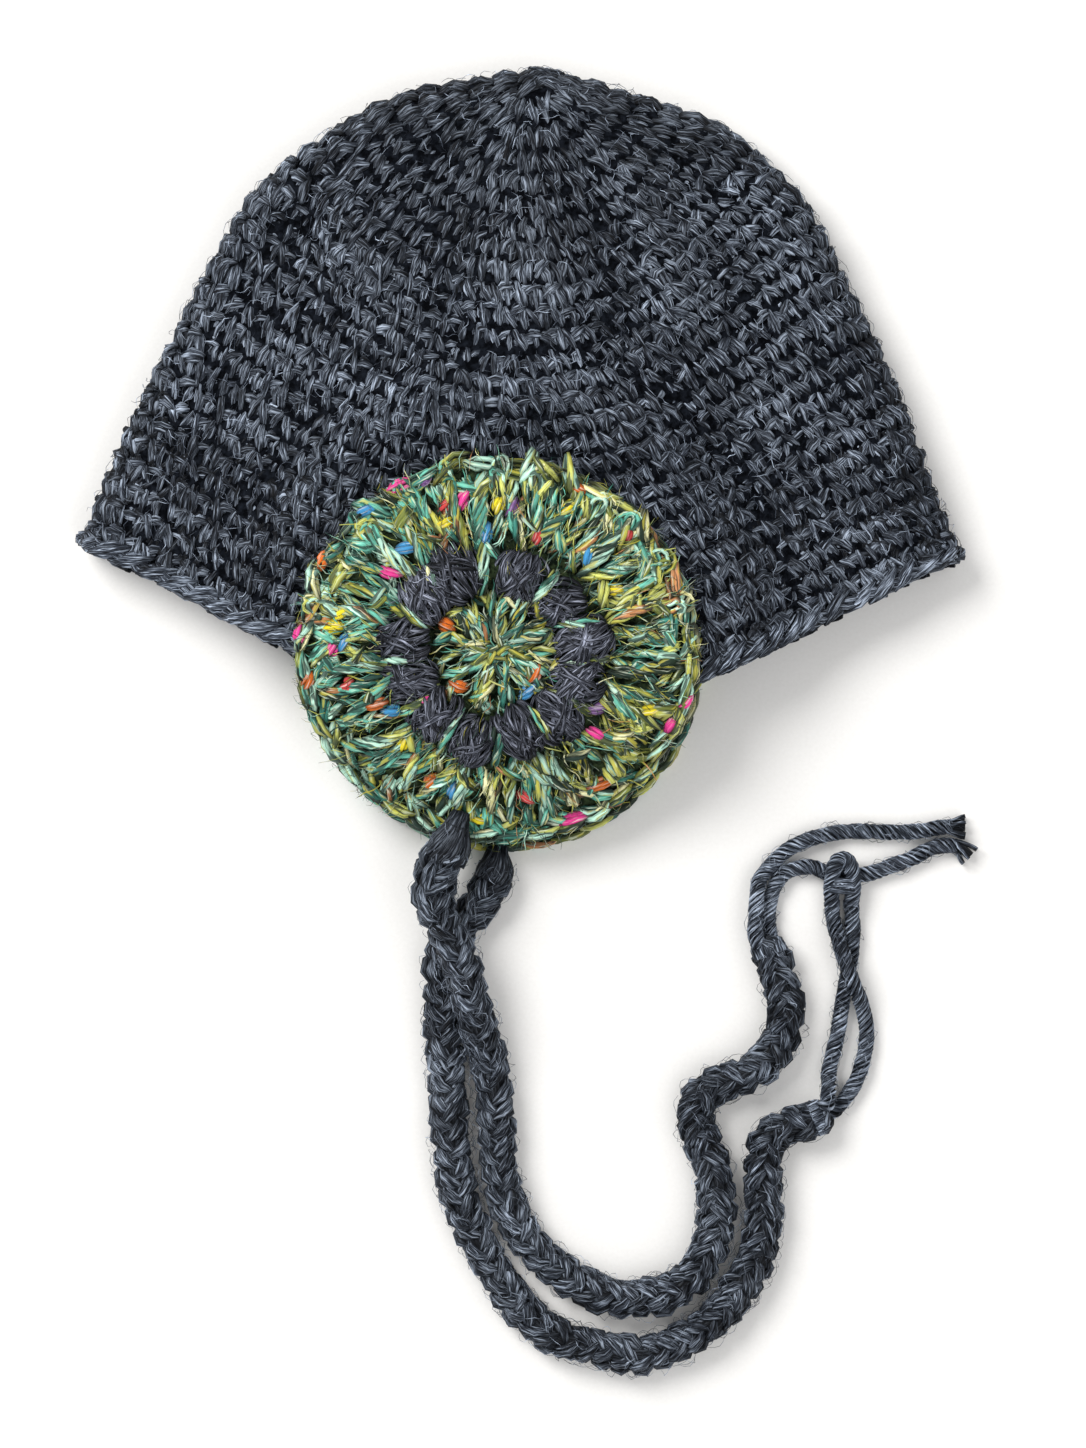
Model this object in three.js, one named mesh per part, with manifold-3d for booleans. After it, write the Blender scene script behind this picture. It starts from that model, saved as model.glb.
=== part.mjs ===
import * as THREE from 'three';
import Module from 'manifold-3d';
import { mergeVertices } from 'three/addons/utils/BufferGeometryUtils.js';

// A crocheted ear-flap hat that lies flat on its side, in millimetres with +Z up. The origin is on
// the surface it lies on, below the middle of the hat without its ties. +X runs along the brim and
// +Y to the top of the crown. The near flap lies on top of the crown and the far flap under it.

// Driving dimensions of the fabric
const WALL = 6;
const FOLD_RADIUS = 9.5;
const RIM_BULGE = 1.6;
const FIT_GAP = 0.3;
const SEAT_GAP = 0.5;

// Driving dimensions of the flaps and ties
const FLAP_RADIUS = 64;
const FAR_FLAP_HEIGHT = 7.5;
const TIE_DIAMETER = 12.2;
const STRAND_DIAMETER = 5;

// The crown's rounds from its apex (row 0) to the brim (row 28): where the row meets the left and
// right fold and the middle of the upper face, and how far the upper face stands above a flat one.
const CROWN_ROWS = [
  { row: 0, leftX: 5.7, leftY: 120.9, rightX: 5.7, rightY: 120.9, midX: 5.7, midY: 120.9, loft: 10 },
  { row: 2, leftX: -9.4, leftY: 118.8, rightX: 19.9, rightY: 117.9, midX: 3.9, midY: 102.1, loft: 13 },
  { row: 5, leftX: -33.8, leftY: 114.5, rightX: 43.1, rightY: 110.8, midX: 3.9, midY: 80.2, loft: 15 },
  { row: 8, leftX: -56.6, leftY: 103.7, rightX: 65.6, rightY: 101.5, midX: 3.9, midY: 59.2, loft: 17 },
  { row: 12, leftX: -82.3, leftY: 83.9, rightX: 88.1, rightY: 79.6, midX: 3.2, midY: 31.5, loft: 17 },
  { row: 16, leftX: -98.5, leftY: 57.4, rightX: 102.6, rightY: 52.4, midX: 2.6, midY: 4.6, loft: 14 },
  { row: 20, leftX: -112.5, leftY: 29.9, rightX: 115.6, rightY: 25, midX: 2, midY: -21.6, loft: 10 },
  { row: 24, leftX: -124.8, leftY: 4, rightX: 125.5, rightY: -2.2, midX: 1.4, midY: -47.6, loft: 7 },
  { row: 28, leftX: -136, leftY: -23.6, rightX: 135.6, rightY: -27.5, midX: 1.1, midY: -75, loft: 5 },
];
const BRIM_ROW = 28;
const ROW_PITCH = 6.6;
const ROW_BOW = 1.12;
const LOFT_REACH = 75;
const MESH_ROWS = [0.35, 1.1, 2, 3, 4.5, 6, 7.5, 9, 10.5, 12, 13.5, 15, 17, 19, 21, 23, 25, 26.5, 28];
const FOLD_COLUMNS = 4;
const FLAT_COLUMNS = 12;
const MOST_FOLD_SHARE = 0.4;

// Soft folds in the upper face: a line from one point to the other, negative heights are valleys.
const CROWN_FOLDS = [
  { name: 'left dent', fromX: -78, fromY: 84, toX: -68, toY: 72, width: 10, height: -4 },
  { name: 'left ridge', fromX: -62, fromY: 80, toX: -46, toY: 60, width: 12, height: 3 },
  { name: 'left valley, top', fromX: -34, fromY: 104, toX: -23, toY: 86, width: 9, height: -6 },
  { name: 'left valley, middle', fromX: -23, fromY: 86, toX: -22, toY: 55, width: 9, height: -6 },
  { name: 'left valley, foot', fromX: -23, fromY: 52, toX: -13, toY: 32, width: 10, height: -5 },
  { name: 'middle bulge', fromX: 6, fromY: 58, toX: 6, toY: 36, width: 18, height: 4 },
  { name: 'right valley', fromX: 21, fromY: 82, toX: 31, toY: 40, width: 10, height: -6 },
  { name: 'right ridge', fromX: 40, fromY: 86, toX: 52, toY: 50, width: 14, height: 4 },
];
const FOLD_FADE_FROM = 6;
const FOLD_FADE_TO = 22;

// The lower face lies on the far flap, and comes down to the surface round it.
const LIFT_FULL_RADIUS = 75;
const LIFT_END_RADIUS = 94;

// Where each flap lies, with its half width and half height as seen from above.
const NEAR_FLAP = { centreX: -7.2, centreY: -59.7, halfX: 63, halfY: 60.5 };
const FAR_FLAP = { centreX: -5.5, centreY: -58.6, halfX: 63, halfY: 63 };
const NEAR_FLAP_DROP_LENGTH = 42;
const NEAR_FLAP_DROP_START = 3;

// The crocheted rounds of a flap. Lobes are the puffs or fans counted round it, and lobeDepth is
// how far the fabric dips between two of them.
const FLAP_ROUNDS = [
  { name: 'centre', inner: 0, outer: 19.5, height: 7.2, crown: 1.2, lobes: 12, lobeDepth: 0.4 },
  { name: 'cluster_ring', inner: 19.5, outer: 34.5, height: 6.8, crown: 3.4, lobes: 12, lobeDepth: 2.2 },
  { name: 'outer_round', inner: 34.5, outer: 56, height: 6.6, crown: 1.8, lobes: 12, lobeDepth: 1 },
  { name: 'edging', inner: 56, outer: FLAP_RADIUS, height: 4.4, crown: 3, lobes: 0, lobeDepth: 0 },
];
const NEAR_FLAP_SECTORS = 48;
const FAR_FLAP_SECTORS = 36;

// Routes of the ties and strands, points chosen by hand: x, y, z.
const NEAR_TIE_ROUTE = [
  [-19.6, -112.4, 23.6], [-21.8, -118.8, 23], [-25.4, -125.9, 20.8], [-27, -132.5, 19.4],
  [-25.6, -139.7, 19.2], [-22.3, -146.8, 19], [-18.1, -156.5, 17.2], [-14.2, -170.4, 13.9],
  [-11.6, -179, 9.4], [-9.4, -188, 6.7], [-8.2, -198, 6.3], [-7.9, -208.6, 6.2], [-6.3, -222.2, 6.1],
  [-3.6, -231.5, 6.1], [0.4, -239.3, 6.1], [6.4, -246.2, 6.1], [13.7, -251.9, 6.1],
  [21.6, -256.5, 6.1], [34.1, -259.1, 6.1], [47.4, -256.5, 6.1], [55.3, -248.6, 6.1],
  [59.9, -238, 6.1], [60.2, -225.5, 6.1], [57, -213.3, 6.1], [53.6, -204.6, 6.1],
  [55, -196.9, 6.1], [60.6, -192.8, 6.1], [66.4, -191, 6.1], [72.1, -188.1, 6.1],
  [77.1, -183.3, 6.1], [80.7, -176.9, 6.1], [81.6, -169.8, 6.1], [79.6, -159.9, 6.1],
  [76.1, -150.6, 6.1],
];
const FAR_TIE_ROUTE = [
  [-7.6, -122.3, 6.1], [-8, -127.2, 6.1], [-10.5, -133.2, 6.1], [-14.3, -138.7, 6.1],
  [-18.1, -143.8, 6.1], [-22.1, -149.4, 6.1], [-24.5, -155.9, 6.1], [-24.7, -163.6, 6.1],
  [-23.9, -178.1, 6.1], [-22.4, -200.6, 6.1], [-21.5, -216, 6.1], [-19.6, -225.3, 6.1],
  [-16.8, -234, 6.1], [-12.8, -242.6, 6.1], [-7.6, -250.8, 6.1], [-2, -259.6, 6.1],
  [4.8, -267, 6.1], [13.1, -271.6, 6.1], [22.2, -274.1, 6.1], [38.4, -276.2, 6.1],
  [53.1, -270.4, 6.1], [59.7, -265.4, 6.1], [65.2, -258.8, 6.1], [69.6, -252.5, 6.1],
  [72.9, -246, 6.1], [74.8, -234, 6.1], [74.8, -221, 6.1], [75.2, -213, 6.1],
  [77.3, -208.3, 6.1], [81.9, -205.6, 6.1], [87, -204.9, 6.1], [92.1, -202.8, 6.1],
];
const NEAR_STRAND_OUTER_ROUTE = [
  [73.4, -151, 8.4], [72.2, -146.6, 7.6], [72.5, -138.6, 6.7], [73.4, -130.4, 4.9],
  [77, -125.4, 2.7], [82.3, -120.5, 2.6], [88.9, -117.3, 2.6], [96.7, -115.3, 2.6],
  [106.3, -114.7, 2.6], [116.2, -115, 2.6], [124.5, -114.5, 2.6], [129.8, -113.5, 2.6],
  [137.3, -113.4, 2.6],
];
const NEAR_STRAND_INNER_ROUTE = [
  [77.7, -149.1, 3.8], [76.6, -145.4, 3.2], [76.5, -141.4, 2.6], [76.9, -136.1, 2.6],
  [78.3, -131.8, 2.6], [81, -128, 2.6], [85.6, -126.1, 2.6], [90.2, -125.8, 2.6],
  [93.9, -127.4, 2.6], [98.6, -128.9, 2.6], [104.5, -128.3, 2.6], [109.7, -127.3, 2.6],
  [115.5, -125, 2.6], [121.4, -122.8, 2.6], [125.9, -120.4, 2.6], [131, -119.1, 2.6],
  [135.6, -119.6, 2.6], [138.9, -122.4, 2.6],
];
const FAR_STRAND_OVER_ROUTE = [
  [92.7, -203.3, 3.2], [95.6, -201.8, 2.7], [98.6, -199.4, 2.6], [103.5, -192, 2.6],
  [106.3, -182.9, 2.6], [106.8, -175.8, 2.6], [105.3, -168.5, 4.2], [102.6, -162, 7.7],
  [99.8, -154.3, 7.8], [97.5, -146.5, 5.2], [96.2, -140.4, 3.4], [96, -136.2, 4],
];
const FAR_STRAND_UNDER_ROUTE = [
  [92.1, -200.4, 8.8], [94.2, -199, 8.2], [94.9, -195.6, 6.4], [95.2, -188.7, 3.1],
  [97.8, -177.7, 2.6], [99, -169.9, 2.6], [100.4, -162, 2.6], [101.9, -154.3, 2.6],
  [102.6, -146.5, 2.6], [102.2, -140.4, 3.2], [101.9, -136.2, 4.2],
];
const KNOT = { x: 99.5, y: -127.4, z: 5.2, halfX: 5, halfY: 7.6, halfZ: 5 };
const KNOT_CLEARANCE = 0.4;

// Lengthwise steps of each tube, and how many segments make a half of its round section
const STEPS = { nearTie: 27, farTie: 22, nearOuter: 8, nearInner: 9, farOver: 8, farUnder: 7 };
const TIE_ARC_SEGMENTS = 5;
const STRAND_ARC_SEGMENTS = 4;

function smooth(value, from, to) {
  const share = THREE.MathUtils.clamp((value - from) / (to - from), 0, 1);
  return share * share * (3 - 2 * share);
}

// A column of the rows table at any row, as a smooth cubic through its values.
function atRow(row, column) {
  const last = CROWN_ROWS.length - 1;
  let i = 0;
  while (i < last - 1 && row > CROWN_ROWS[i + 1].row) i += 1;
  const slope = (k) => {
    const before = CROWN_ROWS[Math.max(k - 1, 0)];
    const after = CROWN_ROWS[Math.min(k + 1, last)];
    return (after[column] - before[column]) / (after.row - before.row);
  };
  const from = CROWN_ROWS[i];
  const to = CROWN_ROWS[i + 1];
  const span = to.row - from.row;
  const t = (row - from.row) / span;
  return hermite(from[column], slope(i) * span, to[column], slope(i + 1) * span, t);
}

function hermite(from, fromSlope, to, toSlope, t) {
  const rest = 1 - t;
  return from * (1 + 2 * t) * rest * rest + fromSlope * t * rest * rest
    + to * (3 - 2 * t) * t * t - toSlope * rest * t * t;
}

function foldPoint(row, side) {
  return new THREE.Vector2(atRow(row, `${side}X`), atRow(row, `${side}Y`));
}

// A point of a row as seen from above: across runs from -1 at the left fold to 1 at the right one.
// A row leaves a fold at a right angle to it and crosses the middle level.
function rowPoint(row, across) {
  const side = across < 0 ? 'left' : 'right';
  const sign = Math.sign(across);
  const end = foldPoint(row, side);
  const middle = new THREE.Vector2(atRow(row, 'midX'), atRow(row, 'midY'));
  const step = 0.2;
  const down = foldPoint(Math.min(row + step, BRIM_ROW), side);
  down.sub(foldPoint(Math.max(row - step, 0), side)).normalize();
  const bow = ROW_BOW * end.distanceTo(middle);
  const t = Math.abs(across);
  return new THREE.Vector2(
    hermite(middle.x, sign * bow, end.x, -sign * down.y * bow, t),
    hermite(middle.y, 0, end.y, sign * down.x * bow, t),
  );
}

const SIDE_STEPS = 56;
const SIDE_LINES = ['left', 'right'].map((side) => Array.from(
  { length: SIDE_STEPS + 1 },
  (_, i) => foldPoint((i / SIDE_STEPS) * BRIM_ROW, side),
));

function distanceToSegment(point, from, to) {
  const line = to.clone().sub(from);
  const t = THREE.MathUtils.clamp(point.clone().sub(from).dot(line) / line.lengthSq(), 0, 1);
  return point.distanceTo(from.clone().addScaledVector(line, t));
}

// How far a point lies inside the folded edge of the crown.
function inset(point) {
  let nearest = Infinity;
  for (const line of SIDE_LINES) {
    for (let i = 0; i < SIDE_STEPS; i += 1) {
      nearest = Math.min(nearest, distanceToSegment(point, line[i], line[i + 1]));
    }
  }
  return nearest;
}

function lift(point) {
  const radius = Math.hypot(point.x - FAR_FLAP.centreX, point.y - FAR_FLAP.centreY);
  return (FAR_FLAP_HEIGHT + FIT_GAP) * (1 - smooth(radius, LIFT_FULL_RADIUS, LIFT_END_RADIUS));
}

function foldsHeight(point, depth) {
  let height = 0;
  for (const fold of CROWN_FOLDS) {
    const from = new THREE.Vector2(fold.fromX, fold.fromY);
    const to = new THREE.Vector2(fold.toX, fold.toY);
    height += fold.height * Math.exp(-((distanceToSegment(point, from, to) / fold.width) ** 2));
  }
  return height * smooth(depth, FOLD_FADE_FROM, FOLD_FADE_TO);
}

function foldRise(depth) {
  const within = Math.min(depth, FOLD_RADIUS);
  return Math.sqrt(FOLD_RADIUS ** 2 - (FOLD_RADIUS - within) ** 2);
}

function crownTop(point, row) {
  const depth = inset(point);
  const loft = atRow(row, 'loft') * smooth(depth, FOLD_RADIUS / 2, LOFT_REACH);
  return lift(point) + FOLD_RADIUS + foldRise(depth) + loft + foldsHeight(point, depth);
}

function crownUnderside(point) {
  return lift(point) + FOLD_RADIUS - foldRise(inset(point));
}

// The outer face of the crown: turn runs from 0 to 1 over the upper face, left to right, and from
// 1 to 2 back under it.
function crownPoint(row, turn) {
  const across = turn <= 1 ? 2 * turn - 1 : 3 - 2 * turn;
  const plan = rowPoint(row, across);
  const z = turn <= 1 ? crownTop(plan, row) : crownUnderside(plan);
  return new THREE.Vector3(plan.x, plan.y, z);
}

// Columns crowd together at the folds, so that those come out round.
function columnTurns(row) {
  const half = foldPoint(row, 'right').distanceTo(foldPoint(row, 'left')) / 2;
  const foldShare = Math.min(FOLD_RADIUS / half, MOST_FOLD_SHARE);
  const quarter = [];
  for (let i = 0; i < FOLD_COLUMNS; i += 1) {
    quarter.push((foldShare * (1 - Math.cos((i / FOLD_COLUMNS) * (Math.PI / 2)))) / 2);
  }
  for (let i = 0; i < FLAT_COLUMNS; i += 1) {
    quarter.push((foldShare + (1 - foldShare) * (i / FLAT_COLUMNS)) / 2);
  }
  const upper = [...quarter, 0.5, ...quarter.slice(1).reverse().map((turn) => 1 - turn)];
  return [...upper, ...upper.map((turn) => turn + 1)];
}

function crownNormal(row, turn) {
  const turnStep = 0.004;
  const rowStep = 0.15;
  const wrap = (value) => (value + 2) % 2;
  const ahead = crownPoint(row, wrap(turn + turnStep)).sub(crownPoint(row, wrap(turn - turnStep)));
  const towards = crownPoint(Math.min(row + rowStep, BRIM_ROW), turn);
  towards.sub(crownPoint(Math.max(row - rowStep, 0), turn));
  return towards.cross(ahead).normalize();
}

// Joins loops of points into one closed body. With poles the first and last loop close to a point
// each, and without them the last loop meets the first.
function skin(loops, poles = []) {
  const count = loops[0].length;
  const points = [...loops.flat(), ...poles];
  const corner = (loop, k) => (loop % loops.length) * count + (k % count);
  const faces = [];
  const bands = poles.length ? loops.length - 1 : loops.length;
  for (let i = 0; i < bands; i += 1) {
    for (let k = 0; k < count; k += 1) {
      const [a, b, c, d] = [corner(i, k), corner(i, k + 1), corner(i + 1, k + 1), corner(i + 1, k)];
      faces.push([a, b, c], [a, c, d]);
    }
  }
  if (poles.length) {
    const first = loops.length * count;
    for (let k = 0; k < count; k += 1) {
      faces.push([first, corner(0, k + 1), corner(0, k)]);
      faces.push([first + 1, corner(loops.length - 1, k), corner(loops.length - 1, k + 1)]);
    }
  }
  let volume = 0;
  for (const [a, b, c] of faces) {
    volume += points[a].dot(points[b].clone().cross(points[c]));
  }
  const ordered = volume > 0 ? faces : faces.map(([a, b, c]) => [a, c, b]);
  const geometry = new THREE.BufferGeometry();
  geometry.setAttribute('position', new THREE.Float32BufferAttribute(
    points.flatMap((point) => point.toArray()),
    3,
  ));
  geometry.setIndex(ordered.flat());
  geometry.computeVertexNormals();
  return geometry;
}

function makeCrown() {
  const outer = MESH_ROWS.map((row) => columnTurns(row).map((turn) => crownPoint(row, turn)));
  const inner = MESH_ROWS.map((row) => columnTurns(row).map(
    (turn) => crownPoint(row, turn).addScaledVector(crownNormal(row, turn), -WALL),
  ));
  const rim = columnTurns(BRIM_ROW).map((turn) => {
    const edge = crownPoint(BRIM_ROW, turn);
    const outward = edge.clone().sub(crownPoint(BRIM_ROW - 1, turn)).setZ(0).normalize();
    return edge.addScaledVector(crownNormal(BRIM_ROW, turn), -WALL / 2)
      .addScaledVector(outward, RIM_BULGE);
  });
  const apex = crownPoint(0, 0.5);
  const innerApex = apex.clone().add(new THREE.Vector3(0, -WALL, 0));
  return skin([...outer, rim, ...inner.reverse()], [apex, innerApex]);
}

// The underside of the near flap: on the crown, and beyond the brim down to the far flap.
const BRIM_SAMPLES = 80;
const BRIM_LINE = Array.from({ length: BRIM_SAMPLES + 1 }, (_, i) => (
  rowPoint(BRIM_ROW, (2 * i) / BRIM_SAMPLES - 1)
));

function nearFlapUnderside(point) {
  let i = 0;
  while (i < BRIM_SAMPLES - 1 && BRIM_LINE[i + 1].x < point.x) i += 1;
  const [from, to] = [BRIM_LINE[i], BRIM_LINE[i + 1]];
  const brimY = THREE.MathUtils.mapLinear(point.x, from.x, to.x, from.y, to.y);
  const beyond = brimY - point.y;
  const row = BRIM_ROW + Math.min(beyond, 0) / ROW_PITCH;
  const onCrown = crownTop(new THREE.Vector2(point.x, Math.max(point.y, brimY)), row) + SEAT_GAP;
  const onFarFlap = FAR_FLAP_HEIGHT + SEAT_GAP;
  const drop = smooth(beyond, NEAR_FLAP_DROP_START, NEAR_FLAP_DROP_START + NEAR_FLAP_DROP_LENGTH);
  return onCrown + (onFarFlap - onCrown) * drop;
}

function farFlapUnderside() {
  return 0;
}

function flapThickness(round, share, angle) {
  const bump = Math.sin(Math.PI * share);
  const dip = round.lobeDepth * (0.5 - 0.5 * Math.cos(round.lobes * angle));
  return round.height + (round.crown - dip) * bump;
}

// One crocheted round of a flap. Each share of its width has a point on its top, and the underside
// has one at both edges and in the middle.
function makeRound(flap, round, sectors, thickness, underside) {
  const at = (share, angle, top) => {
    const radius = THREE.MathUtils.lerp(
      round.inner ? round.inner + FIT_GAP / 2 : 0,
      round.outer < FLAP_RADIUS ? round.outer - FIT_GAP / 2 : round.outer,
      share,
    );
    const plan = new THREE.Vector2(
      flap.centreX + (radius / FLAP_RADIUS) * flap.halfX * Math.cos(angle),
      flap.centreY + (radius / FLAP_RADIUS) * flap.halfY * Math.sin(angle),
    );
    const base = underside(plan);
    return new THREE.Vector3(plan.x, plan.y, base + (top ? thickness(round, share, angle) : 0));
  };
  const angles = Array.from({ length: sectors }, (_, k) => (k / sectors) * 2 * Math.PI);
  const loop = (share, top) => angles.map((angle) => at(share, angle, top));
  if (round.inner === 0) {
    const loops = [
      loop(0.3, true), loop(0.65, true), loop(1, true), loop(1, false), loop(0.5, false),
    ];
    return skin(loops, [at(0, 0, true), at(0, 0, false)]);
  }
  return skin([
    loop(0, false), loop(0, true), loop(0.25, true), loop(0.5, true), loop(0.75, true),
    loop(1, true), loop(1, false), loop(0.5, false),
  ]);
}

// The face of the far flap is pressed flat on the surface, and so is the side that carries the crown.
function pressedThickness(round, share) {
  return round.name === 'edging' ? FAR_FLAP_HEIGHT - 1.5 * share : FAR_FLAP_HEIGHT;
}

function tube(route, diameter, steps, arcSegments) {
  const path = new THREE.CatmullRomCurve3(route.map((point) => new THREE.Vector3(...point)));
  const section = new THREE.Shape().absarc(0, 0, diameter / 2, 0, 2 * Math.PI);
  return new THREE.ExtrudeGeometry(section, {
    steps, extrudePath: path, bevelEnabled: false, curveSegments: arcSegments,
  });
}

const wasm = await Module();
wasm.setup();

function toSolid(geometry) {
  const bare = geometry.clone();
  for (const name of ['normal', 'uv']) bare.deleteAttribute(name);
  const merged = mergeVertices(bare, 0.0001);
  return new wasm.Manifold(new wasm.Mesh({
    numProp: 3,
    vertProperties: new Float32Array(merged.attributes.position.array),
    triVerts: new Uint32Array(merged.index.array),
  }));
}

function toGeometry(solid) {
  const mesh = solid.getMesh();
  const geometry = new THREE.BufferGeometry();
  geometry.setAttribute('position', new THREE.BufferAttribute(mesh.vertProperties, 3));
  geometry.setIndex(new THREE.BufferAttribute(mesh.triVerts, 1));
  geometry.computeVertexNormals();
  return geometry;
}

// The knot that ends the far tie's strands straddles the near tie's inner strand.
function makeKnot() {
  const knob = new THREE.SphereGeometry(1, 14, 10);
  knob.scale(KNOT.halfX, KNOT.halfY, KNOT.halfZ);
  knob.translate(KNOT.x, KNOT.y, KNOT.z);
  const width = STRAND_DIAMETER + 2 * KNOT_CLEARANCE;
  const channel = tube(NEAR_STRAND_INNER_ROUTE, width, STEPS.nearInner, STRAND_ARC_SEGMENTS);
  return toGeometry(toSolid(knob).subtract(toSolid(channel)));
}

const slateYarn = new THREE.MeshStandardMaterial({ color: 0x2f3843, roughness: 0.92, metalness: 0 });
const mixedYarn = new THREE.MeshStandardMaterial({ color: 0x5d7d58, roughness: 0.9, metalness: 0 });

const hat = new THREE.Group();

function addPiece(name, geometry, material) {
  const mesh = new THREE.Mesh(geometry, material);
  mesh.name = name;
  hat.add(mesh);
}

addPiece('crown', makeCrown(), slateYarn);
for (const round of FLAP_ROUNDS) {
  const yarn = round.name === 'cluster_ring' ? slateYarn : mixedYarn;
  const near = makeRound(NEAR_FLAP, round, NEAR_FLAP_SECTORS, flapThickness, nearFlapUnderside);
  const far = makeRound(FAR_FLAP, round, FAR_FLAP_SECTORS, pressedThickness, farFlapUnderside);
  addPiece(`near_flap_${round.name}`, near, yarn);
  addPiece(`far_flap_${round.name}`, far, yarn);
}
addPiece('near_tie', tube(NEAR_TIE_ROUTE, TIE_DIAMETER, STEPS.nearTie, TIE_ARC_SEGMENTS), slateYarn);
addPiece('far_tie', tube(FAR_TIE_ROUTE, TIE_DIAMETER, STEPS.farTie, TIE_ARC_SEGMENTS), slateYarn);
const strands = [
  ['near_strand_outer', NEAR_STRAND_OUTER_ROUTE, STEPS.nearOuter],
  ['near_strand_inner', NEAR_STRAND_INNER_ROUTE, STEPS.nearInner],
  ['far_strand_over', FAR_STRAND_OVER_ROUTE, STEPS.farOver],
  ['far_strand_under', FAR_STRAND_UNDER_ROUTE, STEPS.farUnder],
];
for (const [name, route, steps] of strands) {
  addPiece(name, tube(route, STRAND_DIAMETER, steps, STRAND_ARC_SEGMENTS), slateYarn);
}
addPiece('far_strand_knot', makeKnot(), slateYarn);

export default hat;
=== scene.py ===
import math

import bpy
import numpy as np
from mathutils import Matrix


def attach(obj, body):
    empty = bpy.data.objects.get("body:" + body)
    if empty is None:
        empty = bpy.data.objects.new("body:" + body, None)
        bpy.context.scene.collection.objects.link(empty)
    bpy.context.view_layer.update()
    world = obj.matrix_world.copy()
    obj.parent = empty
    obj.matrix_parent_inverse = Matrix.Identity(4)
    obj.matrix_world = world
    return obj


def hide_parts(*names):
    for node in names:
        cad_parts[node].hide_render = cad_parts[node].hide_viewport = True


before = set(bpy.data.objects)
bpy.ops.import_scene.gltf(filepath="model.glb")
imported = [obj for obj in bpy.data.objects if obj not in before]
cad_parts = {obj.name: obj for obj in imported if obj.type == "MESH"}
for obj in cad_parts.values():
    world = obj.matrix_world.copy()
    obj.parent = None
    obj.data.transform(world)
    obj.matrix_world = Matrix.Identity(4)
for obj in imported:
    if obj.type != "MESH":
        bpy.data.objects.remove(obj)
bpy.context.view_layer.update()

# A crocheted ear-flap hat that lies flat on its side. Shapes are worked out in millimetres in the
# frame of the CAD model and made in metres.
MM = 0.001
rng = np.random.default_rng(11)

# Camera straight above. The picture is 1086 x 1448, and its long side takes the whole sensor.
PICTURE_HEIGHT = 1448
PIXELS_PER_MM = 3.24
FOCUS_LEVEL = 8
LENS = 135
SENSOR = 36
EYE = (6.64, -81.5, PICTURE_HEIGHT / PIXELS_PER_MM / SENSOR * LENS + FOCUS_LEVEL)
camera_data = bpy.data.cameras.new("camera")
camera_data.lens = LENS
camera_data.sensor_width = SENSOR
camera_data.clip_start = 0.05
camera_data.clip_end = 20
camera = bpy.data.objects.new("camera", camera_data)
camera.location = [value * MM for value in EYE]
bpy.context.scene.collection.objects.link(camera)
bpy.context.scene.camera = camera

# Routes of the ties and strands: x, y, z of points, as in the CAD model
NEAR_TIE_ROUTE = [
    (-19.6, -112.4, 23.6), (-21.8, -118.8, 23), (-25.4, -125.9, 20.8), (-27, -132.5, 19.4),
    (-25.6, -139.7, 19.2), (-22.3, -146.8, 19), (-18.1, -156.5, 17.2), (-14.2, -170.4, 13.9),
    (-11.6, -179, 9.4), (-9.4, -188, 6.7), (-8.2, -198, 6.3), (-7.9, -208.6, 6.2),
    (-6.3, -222.2, 6.1), (-3.6, -231.5, 6.1), (0.4, -239.3, 6.1), (6.4, -246.2, 6.1),
    (13.7, -251.9, 6.1), (21.6, -256.5, 6.1), (34.1, -259.1, 6.1), (47.4, -256.5, 6.1),
    (55.3, -248.6, 6.1), (59.9, -238, 6.1), (60.2, -225.5, 6.1), (57, -213.3, 6.1),
    (53.6, -204.6, 6.1), (55, -196.9, 6.1), (60.6, -192.8, 6.1), (66.4, -191, 6.1),
    (72.1, -188.1, 6.1), (77.1, -183.3, 6.1), (80.7, -176.9, 6.1), (81.6, -169.8, 6.1),
    (79.6, -159.9, 6.1), (76.1, -150.6, 6.1),
]
FAR_TIE_ROUTE = [
    (-7.6, -122.3, 6.1), (-8, -127.2, 6.1), (-10.5, -133.2, 6.1), (-14.3, -138.7, 6.1),
    (-18.1, -143.8, 6.1), (-22.1, -149.4, 6.1), (-24.5, -155.9, 6.1), (-24.7, -163.6, 6.1),
    (-23.9, -178.1, 6.1), (-22.4, -200.6, 6.1), (-21.5, -216, 6.1), (-19.6, -225.3, 6.1),
    (-16.8, -234, 6.1), (-12.8, -242.6, 6.1), (-7.6, -250.8, 6.1), (-2, -259.6, 6.1),
    (4.8, -267, 6.1), (13.1, -271.6, 6.1), (22.2, -274.1, 6.1), (38.4, -276.2, 6.1),
    (53.1, -270.4, 6.1), (59.7, -265.4, 6.1), (65.2, -258.8, 6.1), (69.6, -252.5, 6.1),
    (72.9, -246, 6.1), (74.8, -234, 6.1), (74.8, -221, 6.1), (75.2, -213, 6.1),
    (77.3, -208.3, 6.1), (81.9, -205.6, 6.1), (87, -204.9, 6.1), (92.1, -202.8, 6.1),
]
NEAR_STRAND_OUTER_ROUTE = [
    (73.4, -151, 8.4), (72.2, -146.6, 7.6), (72.5, -138.6, 6.7), (73.4, -130.4, 4.9),
    (77, -125.4, 2.7), (82.3, -120.5, 2.6), (88.9, -117.3, 2.6), (96.7, -115.3, 2.6),
    (106.3, -114.7, 2.6), (116.2, -115, 2.6), (124.5, -114.5, 2.6), (129.8, -113.5, 2.6),
    (137.3, -113.4, 2.6),
]
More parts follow.
